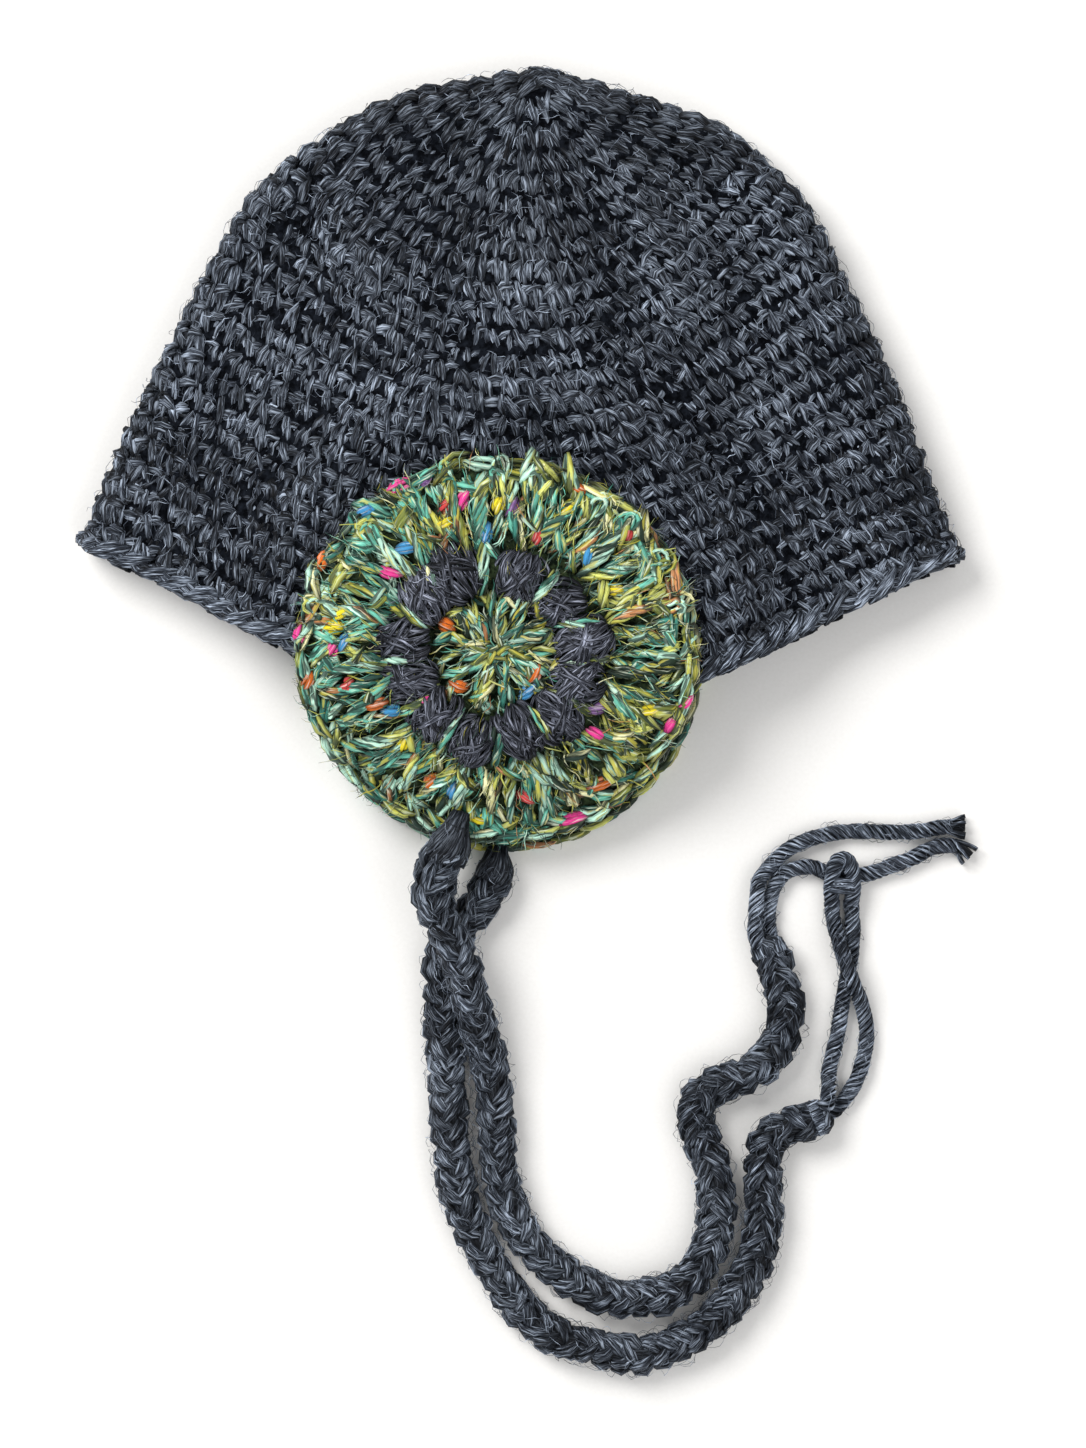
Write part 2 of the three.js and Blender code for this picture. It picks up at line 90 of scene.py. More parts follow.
NEAR_STRAND_INNER_ROUTE = [
    (77.7, -149.1, 3.8), (76.6, -145.4, 3.2), (76.5, -141.4, 2.6), (76.9, -136.1, 2.6),
    (78.3, -131.8, 2.6), (81, -128, 2.6), (85.6, -126.1, 2.6), (90.2, -125.8, 2.6),
    (93.9, -127.4, 2.6), (98.6, -128.9, 2.6), (104.5, -128.3, 2.6), (109.7, -127.3, 2.6),
    (115.5, -125, 2.6), (121.4, -122.8, 2.6), (125.9, -120.4, 2.6), (131, -119.1, 2.6),
    (135.6, -119.6, 2.6), (138.9, -122.4, 2.6),
]
FAR_STRAND_OVER_ROUTE = [
    (92.7, -203.3, 3.2), (95.6, -201.8, 2.7), (98.6, -199.4, 2.6), (103.5, -192, 2.6),
    (106.3, -182.9, 2.6), (106.8, -175.8, 2.6), (105.3, -168.5, 4.2), (102.6, -162, 7.7),
    (99.8, -154.3, 7.8), (97.5, -146.5, 5.2), (96.2, -140.4, 3.4), (96, -136.2, 4),
]
FAR_STRAND_UNDER_ROUTE = [
    (92.1, -200.4, 8.8), (94.2, -199, 8.2), (94.9, -195.6, 6.4), (95.2, -188.7, 3.1),
    (97.8, -177.7, 2.6), (99, -169.9, 2.6), (100.4, -162, 2.6), (101.9, -154.3, 2.6),
    (102.6, -146.5, 2.6), (102.2, -140.4, 3.2), (101.9, -136.2, 4.2),
]
TIE_DIAMETER = 12.2
# Loops on the underside are pressed flat just above the floor, and loose fibres a little higher.
FLOOR_LEVEL = 0.05
FUZZ_FLOOR_LEVEL = 0.1


def unit(vectors):
    return vectors / np.maximum(np.linalg.norm(vectors, axis=-1, keepdims=True), 1e-9)


def without(vectors, direction):
    """Vectors without the part of them that runs in a direction."""
    return vectors - (vectors * direction).sum(-1, keepdims=True) * direction


def level_across(direction):
    """The level direction that lies across another one."""
    return unit(np.cross([0, 0, 1.0], direction))


def aimed(angle, first, second):
    """The direction that is turned by an angle from the first of two directions to the second."""
    return np.cos(angle)[..., None] * first + np.sin(angle)[..., None] * second


def smooth(value, start, end):
    share = np.clip((value - start) / (end - start), 0, 1)
    return share * share * (3 - 2 * share)


def hermite(start, start_slope, end, end_slope, t):
    rest = 1 - t
    return (start * (1 + 2 * t) * rest * rest + start_slope * t * rest * rest
            + end * (3 - 2 * t) * t * t - end_slope * rest * t * t)


def spline(route, per_span=24):
    """A centripetal Catmull-Rom curve through the points, finely sampled."""
    points = np.array(route, float)
    points = np.vstack([2 * points[0] - points[1], points, 2 * points[-1] - points[-2]])
    gaps = np.sqrt(np.linalg.norm(np.diff(points, axis=0), axis=1))
    pieces = []
    for i in range(1, len(points) - 2):
        before, here, after = gaps[i - 1:i + 2]
        a, b, c, d = points[i - 1:i + 3]
        start = ((b - a) / before - (c - a) / (before + here) + (c - b) / here) * here
        end = ((c - b) / here - (d - b) / (here + after) + (d - c) / after) * here
        t = np.arange(per_span)[:, None] / per_span
        pieces.append(hermite(b, start, c, end, t))
    return np.vstack([*pieces, points[-2:-1]])


def run_along(line):
    """How far along a line each of its points is."""
    return np.concatenate([[0], np.cumsum(np.linalg.norm(np.diff(line, axis=0), axis=1))])


def spaced(line, count):
    """Points at equal distances along a line, with its length."""
    run = run_along(line)
    at = np.linspace(0, run[-1], count)
    return np.stack([np.interp(at, run, line[:, k]) for k in range(3)], axis=1), run[-1]


# The crown's rounds from its apex (row 0) to the brim (row 28), as in the CAD model: row, where it
# meets the left and right fold and the middle of the upper face, and the loft of the upper face.
ROW_TABLE = np.array([
    (0, 5.7, 120.9, 5.7, 120.9, 5.7, 120.9, 10),
    (2, -9.4, 118.8, 19.9, 117.9, 3.9, 102.1, 13),
    (5, -33.8, 114.5, 43.1, 110.8, 3.9, 80.2, 15),
    (8, -56.6, 103.7, 65.6, 101.5, 3.9, 59.2, 17),
    (12, -82.3, 83.9, 88.1, 79.6, 3.2, 31.5, 17),
    (16, -98.5, 57.4, 102.6, 52.4, 2.6, 4.6, 14),
    (20, -112.5, 29.9, 115.6, 25, 2, -21.6, 10),
    (24, -124.8, 4, 125.5, -2.2, 1.4, -47.6, 7),
    (28, -136, -23.6, 135.6, -27.5, 1.1, -75, 5),
], float)
BRIM_ROW = 28
ROW_PITCH = 6.6
ROW_BOW = 1.12
LOFT_REACH = 75
WALL = 6
FOLD_RADIUS = 9.5
FAR_FLAP_HEIGHT = 7.5
FIT_GAP = 0.3
SEAT_GAP = 0.5
LEFT, RIGHT, MIDDLE, LOFT = 1, 3, 5, 7

# Soft folds in the upper face: from, to, width, height. They are shallower than in the CAD model,
# so that the stitches close over them.
CROWN_FOLDS = [
    (-78, 84, -68, 72, 10, -4), (-62, 80, -46, 60, 12, 3), (-34, 104, -27, 96, 9, -2.5),
    (-22, 76, -22, 64, 11, -2.5), (-21, 44, -14, 34, 12, -2.5), (6, 58, 6, 36, 18, 4),
    (21, 74, 31, 40, 12, -2.5), (40, 86, 52, 50, 14, 4),
]
FLAP_RADIUS = 64
NEAR_FLAP = {"centre": (-7.2, -59.7), "half": (63, 60.5)}
FAR_FLAP = {"centre": (-5.5, -58.6), "half": (63, 63)}


def at_row(row, column):
    row = np.asarray(row, float)
    knots, values = ROW_TABLE[:, 0], ROW_TABLE[:, column]
    k = np.arange(len(knots))
    before, after = np.maximum(k - 1, 0), np.minimum(k + 1, len(knots) - 1)
    slope = (values[after] - values[before]) / (knots[after] - knots[before])
    i = np.clip(np.searchsorted(knots, row, side="right") - 1, 0, len(knots) - 2)
    span = knots[i + 1] - knots[i]
    t = (row - knots[i]) / span
    return hermite(values[i], slope[i] * span, values[i + 1], slope[i + 1] * span, t)


def point_at(row, column):
    return np.stack([at_row(row, column), at_row(row, column + 1)], axis=-1)


def row_point(row, across):
    """A point of a row as seen from above; across runs from -1 to 1."""
    row, across = np.broadcast_arrays(np.asarray(row, float), np.asarray(across, float))
    left = (across < 0)[..., None]
    sign = np.where(across < 0, -1.0, 1.0)
    end = np.where(left, point_at(row, LEFT), point_at(row, RIGHT))
    middle = point_at(row, MIDDLE)
    ahead, behind = np.minimum(row + 0.2, BRIM_ROW), np.maximum(row - 0.2, 0)
    down = unit(np.where(left, point_at(ahead, LEFT) - point_at(behind, LEFT),
                         point_at(ahead, RIGHT) - point_at(behind, RIGHT)))
    bow = ROW_BOW * np.linalg.norm(end - middle, axis=-1)
    t = np.abs(across)
    return np.stack([
        hermite(middle[..., 0], sign * bow, end[..., 0], -sign * down[..., 1] * bow, t),
        hermite(middle[..., 1], 0, end[..., 1], sign * down[..., 0] * bow, t),
    ], axis=-1)


def segment_distance(points, start, end):
    line = end - start
    t = ((points[..., None, :] - start) * line).sum(-1) / (line ** 2).sum(-1)
    nearest = start + np.clip(t, 0, 1)[..., None] * line
    return np.linalg.norm(points[..., None, :] - nearest, axis=-1)


side_rows = np.linspace(0, BRIM_ROW, 57)
side_lines = [point_at(side_rows, LEFT), point_at(side_rows, RIGHT)]
side_starts = np.vstack([line[:-1] for line in side_lines])
side_ends = np.vstack([line[1:] for line in side_lines])
fold_table = np.array(CROWN_FOLDS, float)


def inset(points):
    return segment_distance(points, side_starts, side_ends).min(axis=-1)


def lift(points):
    radius = np.linalg.norm(points - np.array(FAR_FLAP["centre"]), axis=-1)
    return (FAR_FLAP_HEIGHT + FIT_GAP) * (1 - smooth(radius, 75, 94))


def fold_rise(depth):
    within = np.minimum(depth, FOLD_RADIUS)
    return np.sqrt(np.maximum(FOLD_RADIUS ** 2 - (FOLD_RADIUS - within) ** 2, 0))


def crown_top(points, row):
    depth = inset(points)
    loft = at_row(row, LOFT) * smooth(depth, FOLD_RADIUS / 2, LOFT_REACH)
    away = segment_distance(points, fold_table[:, :2], fold_table[:, 2:4])
    folds = (fold_table[:, 5] * np.exp(-(away / fold_table[:, 4]) ** 2)).sum(-1)
    return (lift(points) + FOLD_RADIUS + fold_rise(depth) + loft
            + folds * smooth(depth, 6, 22))


def crown_point(row, turn):
    """The outer face: turn runs from 0 to 1 over the upper face, and from 1 to 2 back under it."""
    row, turn = np.broadcast_arrays(np.asarray(row, float), np.mod(turn, 2))
    across = np.where(turn <= 1, 2 * turn - 1, 3 - 2 * turn)
    plan = row_point(row, across)
    under = lift(plan) + FOLD_RADIUS - fold_rise(inset(plan))
    z = np.where(turn <= 1, crown_top(plan, row), under)
    return np.concatenate([plan, z[..., None]], axis=-1)


def crown_frame(row, turn):
    """Point, direction along the row, direction to the apex, outward normal and row height."""
    point = crown_point(row, turn)
    along = unit(crown_point(row, turn + 0.004) - crown_point(row, turn - 0.004))
    ahead, behind = np.minimum(row + 0.15, BRIM_ROW), np.maximum(row - 0.15, 0)
    down = crown_point(ahead, turn) - crown_point(behind, turn)
    pitch = np.linalg.norm(down, axis=-1) / (ahead - behind)
    normal = unit(np.cross(down, along))
    return point, along, np.cross(normal, along), normal, pitch


def pairs(first, second):
    """Every number of the first range with every number of the second."""
    return [grid.ravel() for grid in np.meshgrid(first, second, indexing="ij")]


def tube_faces(rings, sides):
    """Faces between rings of points, and to the point at each end, which come after the rings."""
    ring, k = pairs(np.arange(rings - 1), np.arange(sides))
    here, after = ring * sides, (k + 1) % sides
    quads = np.stack([here + k, here + after, here + sides + after, here + sides + k], axis=1)
    k = np.arange(sides)
    after = (k + 1) % sides
    last, foot = (rings - 1) * sides, np.full(sides, rings * sides)
    tris = np.concatenate([np.stack([foot, after, k], axis=1),
                           np.stack([foot + 1, last + k, last + after], axis=1)])
    return quads, tris


def strand_uv(path, radius, sides, quads):
    """Texture coordinates of quads and triangles: round the strand and along it in millimetres,
    from a spot of its own for each strand."""
    count, steps = path.shape[:2]
    run = np.concatenate([np.zeros((count, 1)), np.cumsum(
        np.linalg.norm(np.diff(path, axis=1), axis=-1), axis=1)], axis=1)
    girth = (2 * math.pi * radius.max(axis=1) / sides)[:, None, None]
    spot = rng.uniform(0, 400, (count, 2))[:, None, None]
    u_steps = np.tile(np.arange(sides), steps - 1)[:, None] + np.array([0, 1, 1, 0])
    v_steps = quads[:, [0, 0, 3, 3]] // sides
    quad_uv = np.stack([girth * u_steps[None] + spot[..., 0], run[:, v_steps] + spot[..., 1]],
                       axis=-1)
    tri_u = np.tile(np.arange(sides), 2)[None, :, None] + np.array([0.5, 0, 1])
    ends = np.repeat(run[:, [0, -1]], sides, axis=1)[:, :, None]
    tri_uv = np.stack([girth * tri_u + spot[..., 0],
                       np.broadcast_to(ends, (count, 2 * sides, 3)) + spot[..., 1]], axis=-1)
    return quad_uv.reshape(-1, 2), tri_uv.reshape(-1, 2)


class Yarn:
    """Collects swept strands and makes one mesh of them."""

    def __init__(self):
        self.parts = []

    def add(self, path, radius, sides, lateral, tint=(1, 1, 1), shade=0.0, gloom=0.0):
        """path is (strands, steps, 3), radius and shade (strands, steps), lateral and tint
        (strands, 3), or less where they are the same. shade is painted shade along the strands.
        lateral is a direction that lies across the strands, and the last number is how much painted
        shade darkens their sides and undersides."""
        count, steps = path.shape[:2]
        if not count:
            return
        radius = np.broadcast_to(np.asarray(radius, float), (count, steps))
        lateral = np.asarray(lateral, float)
        lateral = lateral[:, None, :] if lateral.ndim == 2 else lateral
        tangent = unit(np.gradient(path, axis=1))
        side = unit(without(lateral, tangent))
        up = np.cross(tangent, side)
        angle = np.arange(sides) * 2 * math.pi / sides
        ring = (path[:, :, None, :]
                + (radius[:, :, None] * np.cos(angle))[..., None] * side[:, :, None, :]
                + (radius[:, :, None] * np.sin(angle))[..., None] * up[:, :, None, :])
        points = np.concatenate([ring.reshape(count, -1, 3), path[:, [0, -1]]], axis=1)
        quads, tris = tube_faces(steps, sides)
        quad_uv, tri_uv = strand_uv(path, radius, sides, quads)
        # Painted shade: each strand darkens along its length by the shade values, and on its sides
        # and underside.
        shade = np.broadcast_to(np.asarray(shade, float), (count, steps))
        low = gloom * smooth(-np.sin(angle), -0.88, 0.15)
        round_shade = np.clip(shade[:, :, None] + low, 0, 1).reshape(count, -1)
        shades = np.concatenate([round_shade, shade[:, [0, -1]]], axis=1)
        tints = np.broadcast_to(np.asarray(tint, float), (count, 3))
        first = points.shape[1] * np.arange(count)[:, None, None]
        self.parts.append({
            "points": points.reshape(-1, 3), "quads": (quads[None] + first).reshape(-1, 4),
            "tris": (tris[None] + first).reshape(-1, 3), "quad_uv": quad_uv, "tri_uv": tri_uv,
            "shade": shades.ravel(), "tint": np.repeat(tints, points.shape[1], axis=0),
        })

    def joined(self, key):
        return np.concatenate([part[key] for part in self.parts])

    def make(self, name, material, floor=None):
        """One mesh of all strands, which is pressed flat where it would go below the floor."""
        points = self.joined("points")
        if floor is not None:
            points[:, 2] = np.maximum(points[:, 2], floor)
        offsets = np.cumsum([0] + [len(part["points"]) for part in self.parts])
        corners, uv, sizes = [], [], []
        for part, offset in zip(self.parts, offsets):
            corners += [(part["quads"] + offset).ravel(), (part["tris"] + offset).ravel()]
            uv += [part["quad_uv"], part["tri_uv"]]
            sizes += [np.full(len(part["quads"]), 4), np.full(len(part["tris"]), 3)]
        return add_mesh(name, points, np.concatenate(corners), np.concatenate(sizes), material,
                        np.concatenate(uv), self.joined("tint"), self.joined("shade"))


# Triangles of each piece
triangles = {}


def add_mesh(name, points, corners, sizes, material, uv, tint, shade):
    mesh = bpy.data.meshes.new(name)
    mesh.vertices.add(len(points))
    mesh.vertices.foreach_set("co", (points * MM).astype(np.float32).ravel())
    mesh.loops.add(len(corners))
    mesh.loops.foreach_set("vertex_index", corners.astype(np.int32))
    mesh.polygons.add(len(sizes))
    starts = np.concatenate([[0], np.cumsum(sizes)[:-1]])
    mesh.polygons.foreach_set("loop_start", starts.astype(np.int32))
    mesh.polygons.foreach_set("use_smooth", np.ones(len(sizes), bool))
    layer = mesh.uv_layers.new(name="yarn")
    layer.data.foreach_set("uv", (uv * MM).astype(np.float32).ravel())
    colour = mesh.attributes.new("tint", "FLOAT_COLOR", "POINT")
    colour.data.foreach_set("color", np.hstack([tint, np.ones((len(tint), 1))])
                            .astype(np.float32).ravel())
    # The shade attribute holds painted shade, which the materials mix towards near black.
    depth = mesh.attributes.new("shade", "FLOAT", "POINT")
    depth.data.foreach_set("value", shade.astype(np.float32))
    mesh.update(calc_edges=True)
    mesh.materials.append(material)
    piece = bpy.data.objects.new(name, mesh)
    bpy.context.scene.collection.objects.link(piece)
    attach(piece, "root")
    triangles[name] = int((sizes - 2).sum())
    return piece


def spread(count, amount):
    return rng.normal(0, amount, count)


def for_each(count, *values):
    """Numbers, one for all strands or one for each, in the shape that goes with their paths."""
    return [np.broadcast_to(np.asarray(value, float), (count,))[:, None, None]
            for value in values]


def loop_path(centre, along, up, side, length, arch, bend, t):
    """Loops that rise out of the fabric and dive back in, for t from -1 to 1."""
    return (centre[:, None] + along[:, None] * length / 2 * t - up[:, None] * arch * t ** 2
            + side[:, None] * bend * (1 - t ** 2))


def plain_loops(yarn, centre, along, up, length, width, arch, bend, tint, steps, sides, shade,
                gloom):
    """Plump loops of one strand each, for what is hardly seen."""
    t = np.linspace(-1, 1, steps)[None, :, None]
    length, width, arch, bend = for_each(len(centre), length, width, arch, bend)
    side = unit(np.cross(up, along))
    path = loop_path(centre, along, up, side, length, arch, bend, t)
    radius = (width / 2 * (1 - 0.62 * np.abs(t) ** 2.6))[..., 0]
    yarn.add(path, radius, sides, side, tint, shade, gloom)


# How much lower the outer plies of a loop lie, in widths of the loop
PLY_DOME = 2.1
# How much thinner a ply gets towards its ends, and how much painted shade darkens it there
PLY_TAPER = 0.45
PLY_END_SHADE = 0.75


def bundle(yarn, centre, along, up, length, width, arch, bend, tint, plies=3, sides=5, steps=6,
           roll=0.35, own=0.13, close=0.55, round_lay=False, wave=0.0):
    """A loop of several plies side by side, or twisted round each other with round_lay. own is
    how much the plies' tones differ, close how near they come at the ends, wave how much they
    wander."""
    count = len(centre)
    t = np.sin(np.linspace(-math.pi / 2, math.pi / 2, steps))[None, :, None]
    length, width, arch, bend = for_each(count, length, width, arch, bend)
    side = unit(np.cross(up, along))
    middle = loop_path(centre, along, up, side, length, arch, bend, t)
    tangent = unit(np.gradient(middle, axis=1))
    lateral = unit(without(side[:, None], tangent))
    out = np.cross(tangent, lateral)
    swing = spread(count, 0.3)[:, None, None] + roll * t
    for k in range(plies):
        if round_lay:
            turn = 2 * math.pi * k / plies + swing * 3
            apart = width * (0.26 + 0.02 * (plies - 3)) * (1 - close * t ** 2)
            away, rise = apart * np.cos(turn), apart * np.sin(turn)
            thick = width * (0.29 if plies == 3 else 0.21)
        else:
            place = (k - (plies - 1) / 2) / plies
            apart = place * width * (1 - close * t ** 2)
            away = apart * np.cos(swing)
            rise = apart * np.sin(swing) - PLY_DOME * width * place ** 2
            thick = width / plies * 0.76
        sway = wave * np.sin(2.6 * t + rng.uniform(0, 6.28, (count, 1, 1)))
        slide = along[:, None] * spread(count, 0.3)[:, None, None]
        path = middle + lateral * (away + sway) + out * rise + slide
        end_share = np.abs(t) ** 3
        radius = thick * (1 + spread(count, 0.1))[:, None, None] * (1 - PLY_TAPER * end_share)
        colour = np.asarray(tint[k] if isinstance(tint, list) else tint)
        colour = colour * (1 + spread(count, own))[:, None]
        # Painted shade darkens the plies towards their ends and on their sides and undersides.
        yarn.add(path, radius[..., 0], sides, side, np.maximum(colour, 0),
                 PLY_END_SHADE * end_share[..., 0], 0.68)


# Shader graphs
class Wire:
    """A shader socket that can be added, multiplied and so on."""

    def __init__(self, graph, socket):
        self.graph, self.socket = graph, socket

    def _maths(self, operation, *values):
        return self.graph.node("ShaderNodeMath", {"operation": operation},
                               dict(enumerate(values)))

    def __add__(self, other):
        return self._maths("ADD", self, other)

    def __sub__(self, other):
        return self._maths("SUBTRACT", self, other)

    def __mul__(self, other):
        return self._maths("MULTIPLY", self, other)

    def __rsub__(self, other):
        return self._maths("SUBTRACT", other, self)

    __radd__, __rmul__ = __add__, __mul__

    def between(self, low, high, to_low=0.0, to_high=1.0):
        return self.graph.node("ShaderNodeMapRange", {"interpolation_type": "SMOOTHSTEP"},
                               {"Value": self, "From Min": low, "From Max": high,
                                "To Min": to_low, "To Max": to_high})


class Graph:
    """A material's nodes. node() makes one of a type with its settings and inputs."""

    def __init__(self, name):
        self.material = bpy.data.materials.new(name)
        self.material.use_nodes = True
        self.tree = self.material.node_tree
        self.tree.nodes.clear()

    def node(self, kind, settings=None, inputs=None, output=0):
        node = self.tree.nodes.new(kind)
        for key, value in (settings or {}).items():
            setattr(node, key, value)
        for key, value in (inputs or {}).items():
            if isinstance(value, Wire):
                self.tree.links.new(value.socket, node.inputs[key])
            else:
                node.inputs[key].default_value = value
        return Wire(self, node.outputs[output]) if node.outputs else None

    def noise(self, vector, scale, detail=2.0, roughness=0.5):
        return self.node("ShaderNodeTexNoise", {}, {
            "Vector": vector, "Scale": scale, "Detail": detail, "Roughness": roughness})

    def position(self):
        return self.node("ShaderNodeTexCoord", {}, {}, "Object")

    def attribute(self, name, output):
        return self.node("ShaderNodeAttribute", {"attribute_name": name}, {}, output)

    def stretch(self, vector, factors):
        return self.node("ShaderNodeVectorMath", {"operation": "MULTIPLY"},
                         {0: vector, 1: factors})

    def mix(self, share, first, second, blend="MIX"):
        return self.node("ShaderNodeMix", {"data_type": "RGBA", "blend_type": blend},
                         {0: share, 6: first, 7: second}, 2)

    def ramp(self, value, stops):
        wire = self.node("ShaderNodeValToRGB", {}, {0: value})
        ramp = wire.socket.node.color_ramp
        while len(ramp.elements) < len(stops):
            ramp.elements.new(0.5)
        for element, (position, colour) in zip(ramp.elements, stops):
            element.position, element.color = position, (*colour, 1)
        return wire

    def finish(self, colour, roughness, height, bump, bump_distance, specular=0.15):
        normal = self.node("ShaderNodeBump", {}, {
            "Strength": bump, "Distance": bump_distance, "Height": height})
        shader = self.node("ShaderNodeBsdfPrincipled", {}, {
            "Base Color": colour, "Roughness": roughness, "Normal": normal,
            "Specular IOR Level": specular})
        self.node("ShaderNodeOutputMaterial", {}, {0: shader})
        return self.material


def fibres(graph):
    """Fine filaments along the yarn, and broader ones, from its own coordinates."""
    coordinates = graph.node("ShaderNodeUVMap", {"uv_map": "yarn"})
    sway = graph.node("ShaderNodeTexNoise", {}, {
        "Vector": coordinates, "Scale": 420, "Detail": 1.0}, 1)
    centred = graph.node("ShaderNodeVectorMath", {"operation": "SUBTRACT"},
                         {0: sway, 1: (0.5, 0.5, 0.5)})
    swayed = graph.node("ShaderNodeVectorMath", {"operation": "MULTIPLY_ADD"},
                        {0: centred, 1: (0.0008, 0.0, 0.0), 2: coordinates})
    fine = graph.noise(graph.stretch(swayed, (3400, 200, 1)), 1.0, 2.0, 0.6)
    broad = graph.noise(graph.stretch(swayed, (1300, 150, 1)), 1.0, 1.0, 0.5)
    return fine, broad, swayed


# How deep the filaments of the yarn look, in metres
BUMP = 0.0005


def slate_material(name, dark, middle, light):
    """Slate yarn in three tones, with soft patches of a slightly other tone. The tones follow the
    height of the filaments: their own light and dark streaks, with painted shade in the grooves
    and painted highlights on the crests.
    """
    graph = Graph(name)
    fine, broad, _ = fibres(graph)
    streak = fine * 0.6 + broad * 0.4
    patches = graph.noise(graph.position(), 45)
    colour = graph.ramp(streak + (patches - 0.5) * 0.16, [
        (0.4, dark), (0.51, middle), (0.62, light)])
    # Painted shade: the shade attribute darkens the colour towards near black.
    deep = graph.mix(graph.attribute("shade", "Fac"), colour, (0.002, 0.0025, 0.004, 1))
    tinted = graph.mix(1.0, deep, graph.attribute("tint", "Color"), "MULTIPLY")
    return graph.finish(tinted, fine.between(0.3, 0.7, 0.75, 0.5), streak, 0.8, BUMP)


def mixed_material(name):
    """Yarn that takes its tint from the mesh, with yellow and dark dyed stretches. Its pale streaks
    are partly pale fibre and partly painted highlight on the filaments' crests, and its dark lines
    where the filaments dip are partly painted shade.
    """
    graph = Graph(name)
    fine, broad, swayed = fibres(graph)
    tint = graph.attribute("tint", "Color")
    # Dark lines where the filaments dip, in part painted shade; pale streaks, in part painted
    # highlight on their crests.
    dull = graph.mix(fine.between(0.5, 0.32) * 0.75, tint, (0.02, 0.035, 0.018, 1))
    pale = graph.mix(broad.between(0.54, 0.68) * 0.62, dull, (0.85, 0.95, 0.76, 1))
    along = graph.noise(graph.stretch(swayed, (500, 110, 1)), 1.0, 1.0)
    yellowed = graph.mix(along.between(0.575, 0.65) * 0.65, pale, (0.62, 0.56, 0.07, 1))
    dyed = graph.mix(along.between(0.48, 0.4) * 0.85, yellowed, (0.014, 0.036, 0.028, 1))
    # Painted shade: the shade attribute darkens the colour towards near black.
    deep = graph.mix(graph.attribute("shade", "Fac"), dyed, (0.004, 0.006, 0.004, 1))
    return graph.finish(deep, fine.between(0.3, 0.7, 0.75, 0.45), fine * 0.5 + broad * 0.5,
                        0.8, BUMP, 0.25)


def nub_material(name):
    """Bright unspun fibre, with pale and dark streaks. The dark streaks lie where the filaments
    dip, and are in part painted shade.
    """
    graph = Graph(name)
    fine, broad, _ = fibres(graph)
    tint = graph.attribute("tint", "Color")
    pale = graph.mix(broad.between(0.52, 0.7) * 0.45, tint, (0.95, 0.92, 0.85, 1))
    # Dark streaks where the filaments dip: in part painted shade.
    streaked = graph.mix(fine.between(0.48, 0.3) * 0.6, pale, (0.06, 0.04, 0.03, 1))
    # Painted shade: the shade attribute darkens the colour towards near black.
    deep = graph.mix(graph.attribute("shade", "Fac"), streaked, (0.02, 0.015, 0.012, 1))
    return graph.finish(deep, fine.between(0.3, 0.7, 0.85, 0.6), fine, 0.8, BUMP)


def ground_material(name, dark, light):
    """The fabric under the loops, which shows in the gaps between them. Its nearly black colour is
    the fabric's own dark tone deepened into painted shade of the gaps.
    """
    graph = Graph(name)
    lumps = graph.noise(graph.position(), 420, 3.0, 0.6)
    colour = graph.ramp(lumps, [(0.4, dark), (0.7, light)])
    return graph.finish(colour, lumps.between(0.2, 0.8, 0.8, 0.98), lumps, 0.9, 0.002, 0.03)


def floor_material():
    graph = Graph("floor_paper")
    grain = graph.noise(graph.position(), 900, 3.0)
    colour = graph.ramp(grain, [(0.3, (0.83, 0.825, 0.815)), (0.7, (0.86, 0.856, 0.848))])
    return graph.finish(colour, grain.between(0.2, 0.8, 0.6, 0.7), grain, 0.05, 0.0002, 0.2)


# Slate tones, dark, middle and light: the light tone is in part a painted highlight on the
# filaments' crests, and the dark tone in part painted shade in their grooves.
slate = slate_material("slate_yarn", (0.0018, 0.0024, 0.004), (0.046, 0.057, 0.079),
                       (0.47, 0.55, 0.68))
cluster_slate = slate_material("cluster_yarn", (0.002, 0.0023, 0.0035), (0.034, 0.038, 0.052),
                               (0.3, 0.325, 0.41))
mixed = mixed_material("mixed_yarn")
bright = nub_material("bright_nubs")
# Ground colours, nearly black: painted shade of the gaps between the loops over the fabric's own
# dark tone.
slate_ground = ground_material("slate_ground", (0.0012, 0.0016, 0.0025), (0.01, 0.0125, 0.018))
mixed_ground = ground_material("mixed_ground", (0.005, 0.009, 0.006), (0.05, 0.075, 0.035))


def shell(name, loops, poles, material):
    """Joins loops of points into one closed body, with a pole at each end."""
    points = np.concatenate([*loops, np.array(poles)])
    quads, tris = tube_faces(len(loops), len(loops[0]))
    a, b, c = points[quads[:, 0]], points[quads[:, 1]], points[quads[:, 2]]
    if (a * np.cross(b, c)).sum() < 0:
        quads, tris = quads[:, ::-1], tris[:, ::-1]
    corners = np.concatenate([quads.ravel(), tris.ravel()])
    sizes = np.concatenate([np.full(len(quads), 4), np.full(len(tris), 3)])
    return add_mesh(name, points, corners, sizes, material, points[corners][:, :2],
                    np.ones((len(points), 3)), np.zeros(len(points)))


# Ties: a core with knitted columns of loops round it. Columns: angle from the top, lean, plies
TIE_COLUMNS = [(33, 37, 4), (-33, -37, 4), (98, 28, 3), (-98, -28, 3), (180, 8, 1)]
TIE_PITCH = 5.7
TIE_CORE_RADIUS = 3.9
SWELL_STEP = 5


def along_line(line, at):
    """Points and directions of a line at fractional indices."""
    index = np.arange(len(line))
    tangent = unit(np.gradient(line, axis=0))
    return [np.stack([np.interp(at, index, values[:, k]) for k in range(3)], axis=1)
            for values in (line, tangent)]


